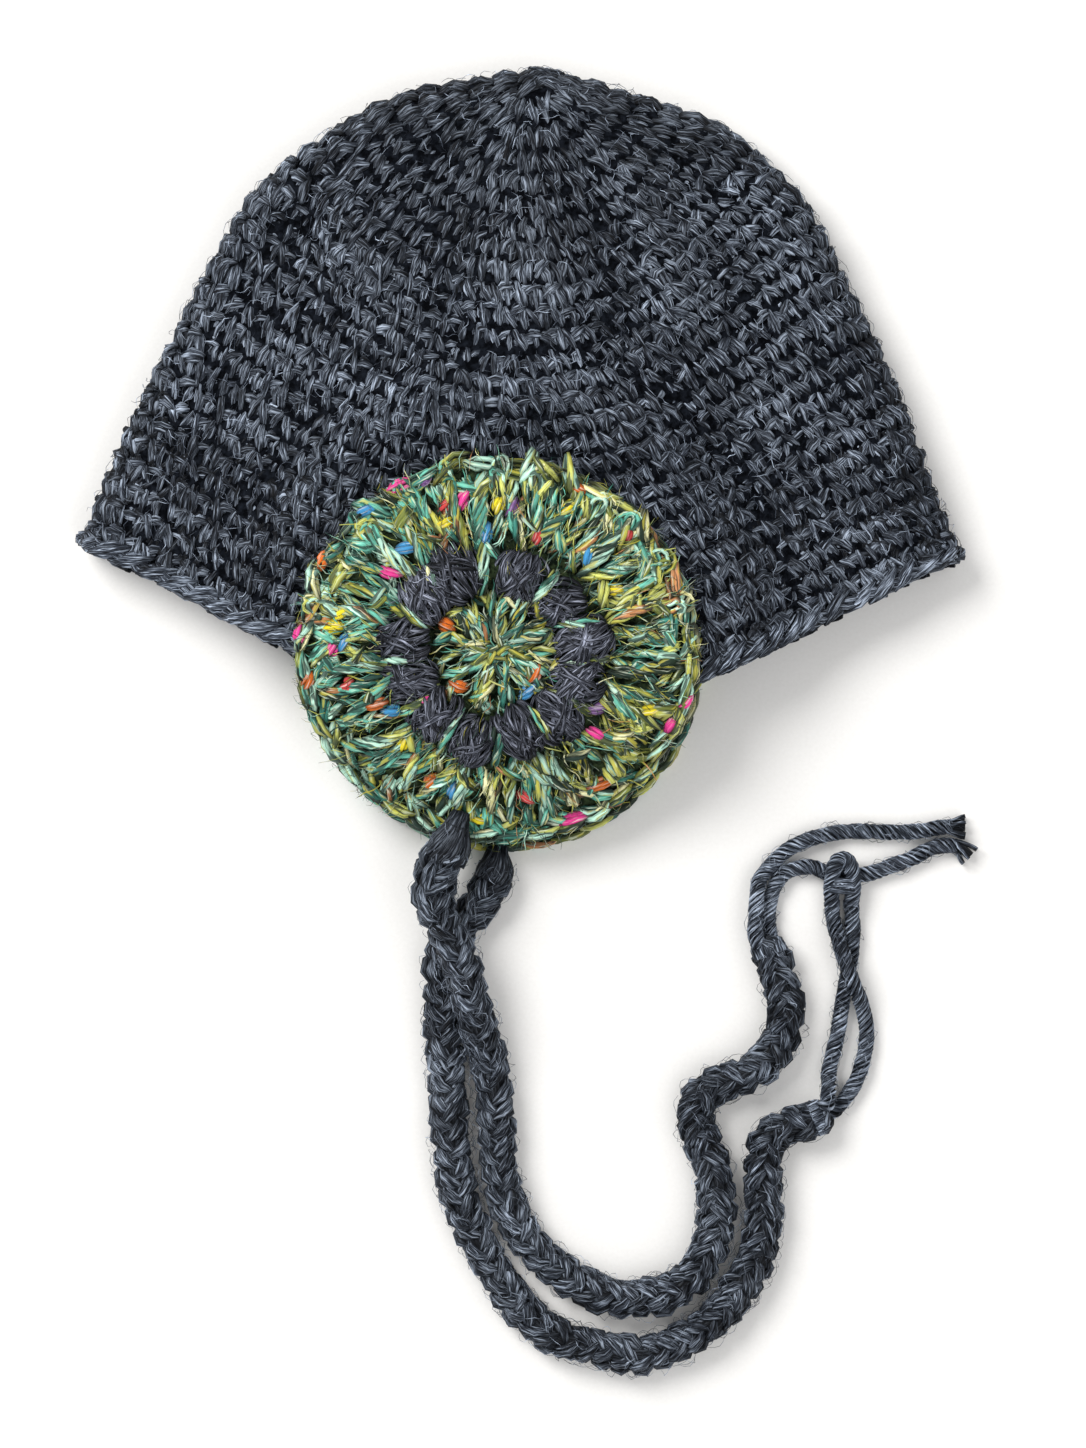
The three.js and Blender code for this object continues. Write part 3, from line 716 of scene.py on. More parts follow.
def tie(name, route, node, swell, run):
    """A tie. swell is how much thicker it is every 5 mm of its start, run the length of the
    strands that fan out over its start."""
    line, length = spaced(spline(route), 220)
    count = int(length / TIE_PITCH)
    yarn = Yarn()
    tangent = unit(np.gradient(line, axis=0))
    side = level_across(tangent)
    # The core is darkened with painted shade, as it shows only between the loops.
    yarn.add(line[None], TIE_CORE_RADIUS, 10, side[None], shade=0.9)
    for column, (angle, lean, plies) in enumerate(TIE_COLUMNS):
        at = (np.arange(count) + 0.5 + 0.5 * (column % 2)) / count * (len(line) - 1)
        at = at[at > run * 0.7 / length * len(line)]
        many = len(at)
        at = np.clip(at + spread(many, 0.4), 1, len(line) - 2)
        wider = wider_at(at * length / len(line), swell)
        centre, forward = along_line(line, at)
        forward = unit(forward)
        across = level_across(forward)
        out = aimed(np.radians(angle + spread(many, 6)), np.cross(forward, across), across)
        round_way = unit(np.cross(out, forward))
        one_way = smooth(wider, 0.5, 1.6) * (angle < 180)
        swing = np.radians(lean + (45 - lean) * one_way + spread(many, 7))
        along = aimed(swing, forward, -round_way)
        width = (4.7 + 0.4 * wider) * (1 + spread(many, 0.1))
        out_to = TIE_DIAMETER / 2 + 0.15 + wider - width * 0.42 + spread(many, 0.25)
        bundle(yarn, centre + out * out_to[:, None], along, out,
               (9.4 + 0.8 * wider) * (1 + spread(many, 0.08)), width, 2.9, spread(many, 0.5),
               (0.8 + spread(many, 0.13))[:, None], plies, 5 if plies > 1 else 6,
               6 if plies > 2 else 5, roll=0.25, close=0.8, round_lay=plies > 2)
    tie_fan(yarn, line, length, run, swell)
    tie_end(yarn, line[::-1], -tangent[::-1], side[::-1])
    piece = yarn.make(name, slate, FLOOR_LEVEL)
    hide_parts(node)
    return piece, line, length


def wider_at(distance, swell):
    return np.interp(distance, np.arange(len(swell)) * SWELL_STEP, swell)


# Where along the fan, and how far out its strands lie there as shares of the tie's radius
FAN_SHARES = [0, 0.3, 0.65, 1]
FAN_REACH = [0.3, 0.68, 0.98, 0.86]


def tie_fan(yarn, line, length, run, swell):
    """Strands that fan out from a point over the start of a tie, winding to the left."""
    shares = np.linspace(0, 1, 7)
    distance = shares * (run + 5) - 5
    centre, forward = along_line(line, np.maximum(distance, 0) / length * (len(line) - 1))
    centre += np.minimum(distance, 0)[:, None] * (forward * 0.8 + [0, 0, 0.5])
    across = level_across(forward)
    top = np.cross(forward, across)
    reach = ((TIE_DIAMETER / 2 - 1.3 + wider_at(distance, swell))
             * np.interp(shares, FAN_SHARES, FAN_REACH))
    for layer, many in enumerate((15, 9)):
        paths, lateral = [], []
        for place in np.linspace(-1, 1, many):
            turn = np.radians(112 * place - 45 * (shares - 0.3) + rng.normal(0, 5))
            out = aimed(turn, top, across)
            paths.append(centre + out * (reach + 0.7 * layer + rng.normal(0, 0.3))[:, None])
            lateral.append(np.cross(out, forward))
        paths = np.array([spaced(spline(path, 6), 13)[0] for path in paths])
        index = np.linspace(0, 6, 13).round().astype(int)
        thick = (1 + spread(many, 0.15))[:, None] * np.linspace(0.85, 1.15, 13)
        # Painted shade on the strands' sides and undersides.
        yarn.add(paths, thick, 6, -np.array(lateral)[:, index],
                 (1 + spread(many, 0.2))[:, None], gloom=0.75)


def tie_end(yarn, line, tangent, side):
    """Loops of yarn that close an end of a tie."""
    at, forward, across = line[0], tangent[0], side[0]
    top = np.cross(forward, across)
    angle = np.linspace(-1, 1, 9) * math.pi / 2
    paths = []
    for offset in np.linspace(-1, 1, 5) * 4:
        bulge = math.sqrt(max(1 - (offset / 6) ** 2, 0.1))
        paths.append(at + across * offset + forward * (2.4 - 4.4 * bulge * np.cos(angle))[:, None]
                     + top * (4.7 * bulge * np.sin(angle))[:, None])
    yarn.add(np.array(paths), 1.45, 7, np.tile(across, (5, 1)))


STRAND_PLIES = 6
STRAND_LAY = 11
STRAND_CORE_RADIUS = 1.45


def twist_plies(yarn, line, reach, ply_radius, sides, flare=0.0):
    """Twisted plies along a line. flare opens them at its end."""
    length = np.linalg.norm(np.diff(line, axis=0), axis=1).sum()
    tangent = unit(np.gradient(line, axis=0))
    side = level_across(tangent)
    top = np.cross(tangent, side)
    run = np.linspace(0, length, len(line))
    opening = 1 + flare * smooth(run, length - 5, length)
    wound = np.where(flare > 0, np.minimum(run, length - 4.5), run) / STRAND_LAY
    paths, radii, laterals = [], [], []
    for k in range(STRAND_PLIES):
        turn = 2 * math.pi * (wound + k / STRAND_PLIES) + 0.2 * np.sin(run / 6 + k)
        swell = reach * opening * (1 + 0.05 * np.sin(run / 3.1 + 2 * k))
        out = aimed(turn, side, top)
        paths.append(line + swell[:, None] * out)
        radii.append(ply_radius * (1 + 0.1 * np.sin(run / 2.3 + 1.7 * k)))
        laterals.append(np.cross(out, tangent))
    # Painted shade on the plies' sides and undersides.
    yarn.add(np.array(paths), np.array(radii), sides, np.array(laterals),
             (1 + spread(STRAND_PLIES, 0.14))[:, None], gloom=0.95)


def twisted(name, route, node, flare=0.0):
    """A thin cord of twisted plies."""
    line, length = spaced(spline(route), 90)
    yarn = Yarn()
    side = level_across(unit(np.gradient(line, axis=0)))
    # The core is darkened with painted shade, as it shows only between the plies.
    yarn.add(line[None], STRAND_CORE_RADIUS, 6, side[None], shade=0.95)
    twist_plies(yarn, line, 1.85, 0.68, 6, flare)
    piece = yarn.make(name, slate, FLOOR_LEVEL)
    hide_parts(node)
    return piece, line, length


def declare(length, pieces=()):
    length * MM


near_tie, near_line, near_length = tie("near_tie_loops", NEAR_TIE_ROUTE, "near_tie",
                                       (-2.2, -0.5, 0.7, 1, 0.9, 0.5, 0.1, 0), 11)
far_tie, far_line, far_length = tie("far_tie_loops", FAR_TIE_ROUTE, "far_tie",
                                    (-1.6, -0.3, 0), 8)
# How far the plies open at a cut end
OPEN_END = 0.9
strand_facts = {
    "near_strand_outer": twisted("near_outer_twist", NEAR_STRAND_OUTER_ROUTE,
                                 "near_strand_outer", OPEN_END),
    "near_strand_inner": twisted("near_inner_twist", NEAR_STRAND_INNER_ROUTE,
                                 "near_strand_inner", OPEN_END),
    "far_strand_over": twisted("far_over_twist", FAR_STRAND_OVER_ROUTE, "far_strand_over"),
    "far_strand_under": twisted("far_under_twist", FAR_STRAND_UNDER_ROUTE, "far_strand_under"),
}

# The knot: the far strands are one cord, folded over the near inner strand and wound round once
KNOT_FOLD = [
    (96, -137.5, 3.8), (95.8, -132, 5.2), (96.2, -127, 7), (97.8, -123.6, 7.9),
    (100.2, -123.2, 7.7), (102, -126.4, 7), (102.6, -131.5, 5.6), (101.9, -137.5, 4.2),
]
WRAP_CENTRE = (99.1, -132.6, 5.4)
WRAP_RADIUS, WRAP_HEIGHT, WRAP_ADVANCE = 4.1, 3.2, 0.45


def tie_knot():
    yarn = Yarn()
    twist_plies(yarn, spaced(spline(KNOT_FOLD), 60)[0], 1.8, 0.74, 7)
    angle = np.linspace(0, 4 * math.pi, 44)
    x, y, z = WRAP_CENTRE
    wrap = np.column_stack([x + WRAP_RADIUS * np.cos(angle), y + WRAP_ADVANCE * angle / 2,
                            z + WRAP_HEIGHT * np.sin(angle)])
    outward = np.column_stack([np.cos(angle), 0 * angle, np.sin(angle)])
    lateral = np.cross(outward, unit(np.gradient(wrap, axis=0)))[None]
    for shift in (-1.1, 0, 1.1):
        # Painted shade on the wraps' sides and undersides.
        yarn.add((wrap + [0, shift, 0])[None], 0.72, 6, lateral, gloom=0.7)
    piece = yarn.make("far_strand_knot_fold", slate, FLOOR_LEVEL)
    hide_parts("far_strand_knot")
    return piece


knot = tie_knot()
declare(near_length)
declare(far_length)
for name, (piece, line, length) in strand_facts.items():
    declare(length,
            [knot] if name == "far_strand_over" else ())


# Loose fibres
def hairs(yarn, base, along, up, length, rise, thickness, wave, tint, steps=5, sides=3):
    """Thin bowed fibres round their bases: rise is how high they stand off, wave how much they
    wander to the side."""
    count = len(base)
    t = np.linspace(0, 1, steps)[None, :, None]
    side = unit(np.cross(up, along))
    length, rise, wave = for_each(count, length, rise, wave)
    phase = rng.uniform(0, 6.28, (count, 1, 1))
    path = (base[:, None] + along[:, None] * length * (t - 0.5)
            + up[:, None] * ((rise + 0.7) * np.sin(math.pi * t) - 0.9)
            + side[:, None] * wave * np.sin(2.2 * math.pi * t + phase))
    radius = thickness * (1 - 0.5 * np.abs(2 * t[..., 0] - 1))
    yarn.add(path, radius, sides, side, tint)


def turned(along, up, angle):
    """A direction turned by an angle round the up direction."""
    return aimed(angle, along, np.cross(up, along))


# Crown: ground in painted shade, nearly black, with the depths of its outer and inner face under
# the tops of the stitches
GROUND_DEPTH, GROUND_INNER_DEPTH = 1.7, 3.9
ground_rows = np.concatenate([[0.35, 0.8, 1.4], np.linspace(2, BRIM_ROW, 27)])
ground_turns = np.linspace(0, 2, 101)[:-1]
outer_loops, inner_loops = [], []
for row in ground_rows:
    point, _, _, normal, _ = crown_frame(np.full(len(ground_turns), row), ground_turns)
    outer_loops.append(point - normal * GROUND_DEPTH)
    inner_loops.append(point - normal * GROUND_INNER_DEPTH)
apex = crown_point(np.array([0.0]), np.array([0.5]))[0]
crown_ground = shell("crown_ground", outer_loops + inner_loops[::-1],
                     [apex + [0, -GROUND_DEPTH, 0], apex + [0, -GROUND_INNER_DEPTH, 0]],
                     slate_ground)
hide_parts("crown")

# Crown: a stitch is three loops. Each loop: along the row, to the apex, length, width, angle from
# the row in degrees, bend, height above the others, and how far its ends dive.
STITCH_LOOPS = [
    (-2.7, -0.2, 7.4, 3.5, 98, 0.4, 0.0, 2.1),
    (0.0, -0.3, 7.8, 3.6, 115, -0.4, 0.15, 2.1),
    (2.7, 0.8, 6.3, 4.1, 18, 0.6, 0.05, 1.9),
]
STITCH_PITCH = 7.9
# The row closest to the apex, before row 1
CLOSING_ROW = 0.65
# Stitches whose normal points down by more than this are on the underside.
UNDERSIDE = -0.35
# Inside this share of the flap's radius, the near flap hides the crown.
HIDDEN_SHARE = 0.86
# Where the stitches on the inner face begin, as far as they show in the mouth
FIRST_INSIDE_ROW = 20.9


# Turns at which rows are measured
ROW_SAMPLE = np.linspace(0, 2, 1201)


def row_run(row):
    """How far along a row its sampled points are."""
    return run_along(crown_point(np.full(len(ROW_SAMPLE), float(row)), ROW_SAMPLE))


def stitch_places():
    """The stitches of all rows: the row, turn and width of each."""
    rows, turns, widths = [], [], []
    for row in [CLOSING_ROW, *range(1, BRIM_ROW + 1)]:
        run = row_run(row - 0.5)
        count = max(int(round(run[-1] / (STITCH_PITCH - 1.3 * (row < 5)))), 6)
        at = (np.arange(count) + 0.37 * row % 1) / count * run[-1] + spread(count, 0.25)
        turns.append(np.interp(np.mod(at, run[-1]), run, ROW_SAMPLE))
        rows.append(np.full(count, row - 0.5))
        widths.append(np.full(count, run[-1] / count))
    return np.concatenate(rows), np.concatenate(turns), np.concatenate(widths)


def make_stitches(name, keep, detail, inner=False):
    """The stitches that keep picks: of several plies with detail, on the inner face with inner."""
    yarn = Yarn()
    point, along, to_apex, normal, pitch, row, width = [value[keep] for value in stitches]
    width = width / STITCH_PITCH
    tall = np.clip(pitch / ROW_PITCH, 0.8, 1.7) * (1.1 - 0.06 * smooth(row, 5, 13))
    if inner:
        point, normal, along = point - normal * WALL, -normal, -along
    count = len(point)
    upper = 1 - smooth(row, 6, 11)
    # Stitches near the apex are darker, which is painted shade; the spread is each stitch's own
    # tone.
    stitch_tone_and_shade = (0.86 - 0.3 * upper) * (1 + spread(count, 0.13))
    for s, r, length, thick, angle, bend, rise, arch in STITCH_LOOPS:
        upright = angle + (84 - angle) * upper * (angle < 90)
        turn = np.radians(upright + spread(count, 1) * (11 - 5 * upper))
        direction = unit(aimed(turn, along * width[:, None], to_apex * tall[:, None]))
        size = np.hypot(np.cos(turn) * width, np.sin(turn) * tall)
        thickness = thick * (0.4 + 0.6 * width) * (1.15 + 0.13 * upper + spread(count, 0.08))
        crest = rise + spread(count, 0.25)
        tint = (stitch_tone_and_shade * (1 + spread(count, 0.1)))[:, None]
        long = length * size * (1.04 + spread(count, 0.08))
        place = (point + along * ((s + spread(count, 0.35)) * width)[:, None]
                 + to_apex * ((r + spread(count, 0.35)) * tall)[:, None])
        if detail:
            bundle(yarn, place + normal * (crest - thickness * 0.3)[:, None], direction, normal,
                   long, thickness, arch, bend + spread(count, 0.3), tint, steps=5, close=0.4)
        else:
            # Painted shade darkens the loops' ends, sides and undersides.
            plain_loops(yarn, place + normal * (crest - thickness / 2)[:, None], direction,
                        normal, long, thickness, arch, bend, tint, 4, 4, [[0.4, 0, 0, 0.4]], 0.6)
    yarn.make(name, slate, FLOOR_LEVEL)


def flap_polar(places):
    """Radius and angle of places on the near flap, seen from above."""
    away = (places - np.array(NEAR_FLAP["centre"])) / np.array(NEAR_FLAP["half"])
    return np.linalg.norm(away, axis=-1) * FLAP_RADIUS, np.arctan2(away[..., 1], away[..., 0])


stitch_rows, stitch_turns, stitch_widths = stitch_places()
stitches = (*crown_frame(stitch_rows, stitch_turns), stitch_rows, stitch_widths)
facing_up = stitches[3][:, 2] > UNDERSIDE
on_flap = flap_polar(stitches[0][:, :2])[0] < HIDDEN_SHARE * FLAP_RADIUS
seen = facing_up & ~((stitch_turns <= 1) & on_flap)
for part, low, high in (("top", 0, 13), ("middle", 13, 20), ("brim", 20, 29)):
    within = (stitch_rows >= low) & (stitch_rows < high)
    make_stitches(f"crown_stitches_{part}", seen & within, True)
make_stitches("crown_stitches_below", ~facing_up, False)
make_stitches("crown_stitches_inside", stitch_rows > FIRST_INSIDE_ROW, False, inner=True)


# Crown: the braid of long loops on the brim. Angle over the edge, distance from its middle, lean,
# length, width, start, plies
BRIM_LINES = [(6, 3.5, 27, 13.5, 5.4, 0.0, 4), (60, 2.6, -22, 13.5, 5.2, 0.45, 4),
              (122, 2.2, 14, 13, 4.6, 0.2, 2), (172, 2.2, -12, 12, 4.4, 0.7, 2)]


def brim_braid():
    """Loops in slanting lines round the edge of the brim."""
    yarn = Yarn()
    run = row_run(BRIM_ROW)
    count = int(round(run[-1] / STITCH_PITCH))
    for angle, away, lean, length, width, start, plies in BRIM_LINES:
        at = (np.arange(count) + start) / count * run[-1] + spread(count, 0.5)
        turn = np.interp(np.mod(at, run[-1]), run, ROW_SAMPLE)
        point, along, to_apex, normal, _ = crown_frame(np.full(count, float(BRIM_ROW)), turn)
        out = aimed(np.radians(angle + spread(count, 6)), normal, -to_apex)
        centre = point - normal * 3 + out * (away + spread(count, 0.15))[:, None]
        direction = turned(along, out, np.radians(lean + spread(count, 4)))
        # Shorter loops where the brim turns round its side folds
        tight = 1 - 0.4 * (np.abs(np.mod(turn, 1) - 0.5) > 0.485)
        bundle(yarn, centre, direction, out, length * tight * (1 + spread(count, 0.06)),
               width * (1 + spread(count, 0.07)), 2.4, spread(count, 0.3),
               (1.08 + spread(count, 0.18))[:, None], plies, roll=0.15, close=0.75)
    return yarn.make("crown_brim_braid", slate, FLOOR_LEVEL)


brim_braid()

# Flaps. Rounds: inner and outer radius, height, crown, lobes and how deep they dip
ROUNDS = {
    "centre": (0, 19.5, 7.2, 1.2, 12, 0.4), "cluster_ring": (19.5, 34.5, 6.8, 3.4, 12, 2.2),
    "outer_round": (34.5, 56, 6.6, 1.8, 12, 1), "edging": (56, 64, 4.4, 3, 0, 0),
}
brim_line = row_point(BRIM_ROW, np.linspace(-1, 1, 81))


def near_under(points):
    brim_y = np.interp(points[..., 0], brim_line[:, 0], brim_line[:, 1])
    beyond = brim_y - points[..., 1]
    row = BRIM_ROW + np.minimum(beyond, 0) / ROW_PITCH
    plan = np.stack([points[..., 0], np.maximum(points[..., 1], brim_y)], axis=-1)
    on_crown = crown_top(plan, row) + SEAT_GAP
    on_flap = FAR_FLAP_HEIGHT + SEAT_GAP
    return on_crown + (on_flap - on_crown) * smooth(beyond, 3, 45)


def thickness_at(radius):
    total = np.zeros_like(radius)
    for inner, outer, height, crown, lobes, dip in ROUNDS.values():
        share = (radius - inner) / (outer - inner)
        within = (share >= 0) & (share < 1)
        total = np.where(within, height + (crown - dip / 2) * np.sin(np.pi * share), total)
    return np.where(radius >= FLAP_RADIUS, 4.4, total)


STEEPEST = 0.55


class Flap:
    """Places things on the outer face of a flap. The near one faces up and the far one down."""

    def __init__(self, facts, far):
        self.centre, self.half, self.far = np.array(facts["centre"]), np.array(facts["half"]), far

    def plan(self, radius, angle):
        away = np.stack([np.cos(angle), np.sin(angle)], axis=-1) * (radius / FLAP_RADIUS)[..., None]
        return self.centre + away * self.half

    def face(self, plan):
        if self.far:
            return np.zeros(plan.shape[:-1])
        away = np.linalg.norm((plan - self.centre) / self.half, axis=-1) * FLAP_RADIUS
        return near_under(plan) + thickness_at(np.minimum(away, FLAP_RADIUS + 1))

    def slope(self, plan, direction):
        step = 1.5 * np.array(direction)
        return np.clip((self.face(plan + step) - self.face(plan - step)) / 3, -STEEPEST, STEEPEST)

    def place(self, radius, angle):
        """Point, outward direction, direction round and normal."""
        radius, angle = np.broadcast_arrays(np.asarray(radius, float), np.asarray(angle, float))
        plan = self.plan(radius, angle)
        point = np.concatenate([plan, self.face(plan)[..., None]], axis=-1)
        level = np.ones(plan.shape[:-1])
        up = unit(np.stack([-self.slope(plan, (1, 0)), -self.slope(plan, (0, 1)), level], -1))
        if self.far:
            up = -up
        out = np.concatenate([unit(np.stack([np.cos(angle), np.sin(angle)], -1) * self.half),
                              0 * level[..., None]], axis=-1)
        out = unit(without(out, up))
        return point, out, np.cross(up, out), up


# Colours of the mixed yarn, each with its share on the left and on the right of a flap
PALETTE = [
    ((0.16, 0.56, 0.43), 0.28, 0.16), ((0.52, 0.86, 0.7), 0.24, 0.15),
    ((0.05, 0.25, 0.2), 0.13, 0.1), ((0.62, 0.66, 0.16), 0.12, 0.22),
    ((0.2, 0.24, 0.05), 0.09, 0.18), ((0.92, 0.9, 0.5), 0.05, 0.08),
    ((0.015, 0.03, 0.018), 0.06, 0.08), ((0.55, 0.24, 0.1), 0.03, 0.03),
]
COLOURS = np.array([entry[0] for entry in PALETTE])
SHARES = np.array([entry[1:] for entry in PALETTE]).T


def mixed_tints(plan):
    """Colours of the mixed yarn: more turquoise on the left, more olive on the right."""
    right = smooth(plan[:, 0], -50, 30)[:, None]
    shares = np.cumsum(SHARES[:1] * (1 - right) + SHARES[1:] * right, axis=1)
    pick = (rng.uniform(0, 1, (len(plan), 1)) > shares).sum(axis=1)
    return COLOURS[np.clip(pick, 0, 7)] * (1 + spread(len(plan), 0.12))[:, None]


def ply_tints(plan, plies, same=0.6):
    """Colours of the plies of each loop, mostly alike within a loop."""
    main = mixed_tints(plan)
    return [np.where(rng.uniform(0, 1, (len(plan), 1)) < same, main, mixed_tints(plan))
            for _ in range(plies)]


def flap_loops(yarn, flap, radius, angle, lean, length, width, arch, rise=0.0, bend=0.3,
               jitter=1.0, plies=5, same=0.5, roll=0.4, steps=6, tone=1.0):
    """Loops that lie on a flap: lean is the angle from the outward direction, in degrees."""
    radius, angle, lean = np.broadcast_arrays(np.asarray(radius, float), angle, lean)
    count = len(radius)
    point, out, round_way, up = flap.place(radius, angle)
    along = aimed(np.radians(lean + spread(count, 7 * jitter)), out, round_way)
    thick = width * (1 + spread(count, 0.1 * jitter))
    long = length * (1 + spread(count, 0.1 * jitter))
    height = rise + spread(count, 0.3 * jitter)
    tint = [tone * colour for colour in ply_tints(point[:, :2], plies, same)]
    if flap.far:
        # Painted shade darkens the loops' ends, sides and undersides.
        plain_loops(yarn, point + up * (height - thick / 2)[:, None], along, up, long, thick,
                    arch, spread(count, bend), tint[0], 5, 6, [[0.5, 0.1, 0, 0.1, 0.5]], 0.5)
    else:
        bundle(yarn, point + up * (height - thick * 0.32)[:, None], along, up, long, thick, arch,
               spread(count, bend), tint, plies, 5, steps, roll, own=0.16, round_lay=True,
               wave=0.42)


def even(count, start=0.0):
    return (np.arange(count) + start) / count * 2 * math.pi


def loose_strands(yarn, flap, count, low, high, length, thickness, rise, tone, steps=6, sides=4):
    """Thin strands that run more or less outward over a round."""
    radius = np.sqrt(rng.uniform(low ** 2, high ** 2, count))
    angle = rng.uniform(0, 2 * math.pi, count)
    point, out, _, up = flap.place(radius, angle)
    direction = turned(out, up, spread(count, 0.38))
    tint = mixed_tints(point[:, :2]) * tone
    hairs(yarn, point + up * rise, direction, up, rng.uniform(*length, count),
          rng.uniform(0.1, 0.9, count), rng.uniform(*thickness, count)[:, None],
          rng.uniform(0.1, 0.8, count), tint, steps, sides)


def centre_posts(yarn, flap):
    for shift in (-0.11, 0.13):
        angle = even(12) + shift + spread(12, 0.07)
        lean = 10 * np.sign(shift)
        flap_loops(yarn, flap, 14 + spread(12, 0.8), angle, lean, 11, 3.6, 2.6, 0.4, 0.7, plies=4,
                   roll=0.8, steps=8, tone=0.8)
        flap_loops(yarn, flap, 7 + spread(12, 0.6), angle, lean * 1.6, 10, 2.7, 2, 0.5, plies=3,
                   tone=0.8)
    flap_loops(yarn, flap, 18 + spread(12, 0.7), even(12, 0.5), 62, 7, 3.8, 2.4, 0.3, jitter=1.6,
               plies=4, tone=0.8)
    flap_loops(yarn, flap, np.full(5, 2.2), even(5), 50, 5.5, 2.8, 1.4, 0.7, plies=3, tone=0.8)
    if not flap.far:
        loose_strands(yarn, flap, 80, 2, 19, (4, 10), (0.16, 0.35), 0, 0.6)


# Middle of each dark cluster, half of its length and width, and its turn from outward in degrees
CLUSTERS = [
    (-21.5, -34.3, 10.2, 8.2, 8), (-0.8, -39.4, 9.6, 7, 0), (10.6, -46.6, 8.6, 7.4, -30),
    (18.2, -57.3, 9, 7.6, 25), (16.4, -68.8, 9, 7.2, 35), (11.6, -79.4, 8.4, 7, -20),
    (-0.5, -84.6, 8.6, 7.2, 12), (-15.3, -87.8, 8, 7.2, -12), (-26.5, -79.2, 8.6, 7.4, 18),
    (-34.6, -68.8, 8.8, 7, -25), (-37.6, -55.9, 9.6, 7.4, 12), (-29.8, -42.6, 8.4, 7.6, -25),
]


# Tufts of a cluster: how far to the side, bow to the side, lean, length and width as shares, height
# and strands
TUFTS = [
    (-0.62, -0.35, 0, 1.0, 0.44, 0, 7), (0.62, 0.35, 0, 1.0, 0.44, 0, 7),
    (0.02, 0.12, 6, 1.06, 0.46, 0.8, 7), (-0.2, 0.2, 38, 0.75, 0.4, 1.3, 5),
    (0.22, -0.2, -34, 0.72, 0.36, 1.5, 4),
]


# How deep the clusters sit in the near flap and in the far one, where they keep clear of the floor
NEAR_CLUSTER_DEPTH, FAR_CLUSTER_DEPTH = 3.3, 4.6


def clusters(yarn, flap):
    """Each cluster is a round puff of bowed tufts."""
    steps, sides, tufts, depth = ((6, 4, TUFTS[:3], FAR_CLUSTER_DEPTH) if flap.far
                                  else (10, 5, TUFTS, NEAR_CLUSTER_DEPTH))
    t = np.linspace(-1, 1, steps)
    belly = np.cos(t * 1.35)[None]
    for x, y, half_length, half_width, swing in CLUSTERS:
        radius, angle = flap_polar(np.array([x, y]))
        point, out, round_way, up = [value[0] for value in flap.place([radius], [angle])]
        for aside, bow, lean, share, wide, high, many in tufts:
            along = aimed(np.radians(swing + lean + rng.normal(0, 9)), out, round_way)
            across = np.cross(up, along)
            off = (np.linspace(-1, 1, many) + spread(many, 0.1))[:, None]
            aside_now = (aside * (0.35 + 0.65 * belly) + bow * belly * 0.4
                         + wide * off * (0.3 + 0.7 * belly))
            curl = 0.5 * np.sin(4 * t[None] + rng.uniform(0, 6.28, (many, 1)))
            top = (3.4 * np.sqrt(np.clip(1 - 0.75 * aside_now ** 2, 0.05, 1)) * belly
                   - 0.9 * off ** 2 + high - depth)
            long = half_length * share * np.sin(t * 1.4)[None] + spread(many, 0.4)[:, None]
            path = (point + along * long[..., None]
                    + across * (aside_now * half_width * 0.9 + curl)[..., None]
                    + up * top[..., None])
            thick = 0.68 * (1 + spread(many, 0.14))[:, None] * (1 - 0.35 * np.abs(t) ** 3)
            tint = np.maximum(1.15 + spread(many, 0.36), 0.3)[:, None]
            # Painted shade darkens the tufts towards their ends and on their sides and undersides.
            yarn.add(path, thick, sides, np.tile(across, (many, 1)), tint,
                     (np.abs(t) ** 2 * 0.75)[None], 0.85)
        if flap.far:
            continue
        many = 12
        base = (point + out * rng.uniform(-0.8, 0.8, (many, 1)) * half_length
                + round_way * rng.uniform(-0.8, 0.8, (many, 1)) * half_width + up * 0.6)
        ups = np.tile(up, (many, 1))
        hairs(yarn, base, turned(np.tile(out, (many, 1)), ups, rng.uniform(0, 6.28, many)), ups,
              rng.uniform(4, 8, many), rng.uniform(0.4, 1.6, many), 0.15,
              rng.uniform(0.6, 1.8, many), (1.3 + spread(many, 0.4))[:, None], 7)


def fans(yarn, flap):
    """Twelve fans of three long posts, which spread out from between the clusters, with short
    loops where they end."""
    fan, post = pairs(np.arange(12), np.arange(3) - 1)
    count = len(fan)
    base = (fan + 0.5) / 12 * 2 * math.pi
    slant = post * 20 + 6
    flap_loops(yarn, flap, 44.5 + spread(count, 0.8), base + post * 0.145, slant, 23, 4.5, 2.6,
               0.5, 1.3, roll=1.3, steps=12)
    flap_loops(yarn, flap, 43.5 + spread(count, 1.4), base + math.pi / 12 + post * 0.15,
               post * 14 - 8, 19, 3.9, 2.4, -0.3, 1.5, plies=4, roll=1.2, steps=11)
    flap_loops(yarn, flap, 53 + spread(count, 1), base + post * 0.19, -22 + post * 20, 9, 4.8,
               2.8, 0.6, 0.6, 1.6)
    flap_loops(yarn, flap, 53.4 + spread(count, 1), base + 0.1 + post * 0.18, 30 + post * 18, 8.5,
               4.4, 2.8, 0.3, 0.6, 1.6)
    flap_loops(yarn, flap, 42 + spread(24, 2.5), even(24, 0.25) + spread(24, 0.05), 50, 8, 3.8,
               2.6, 1.2, 0.7, 2.5, 4)
    spots = np.array(CLUSTERS)[:, :2]
    radius, angle = flap_polar((spots + np.roll(spots, 1, axis=0)) / 2)
    flap_loops(yarn, flap, radius + 2, angle, spread(12, 9), 16, 4.2, 2, 0.2, 0.8, plies=4,
               roll=0.9, steps=9)
    if not flap.far:
        loose_strands(yarn, flap, 360, 33, 59, (6, 14), (0.14, 0.32), 0.1, 0.9)


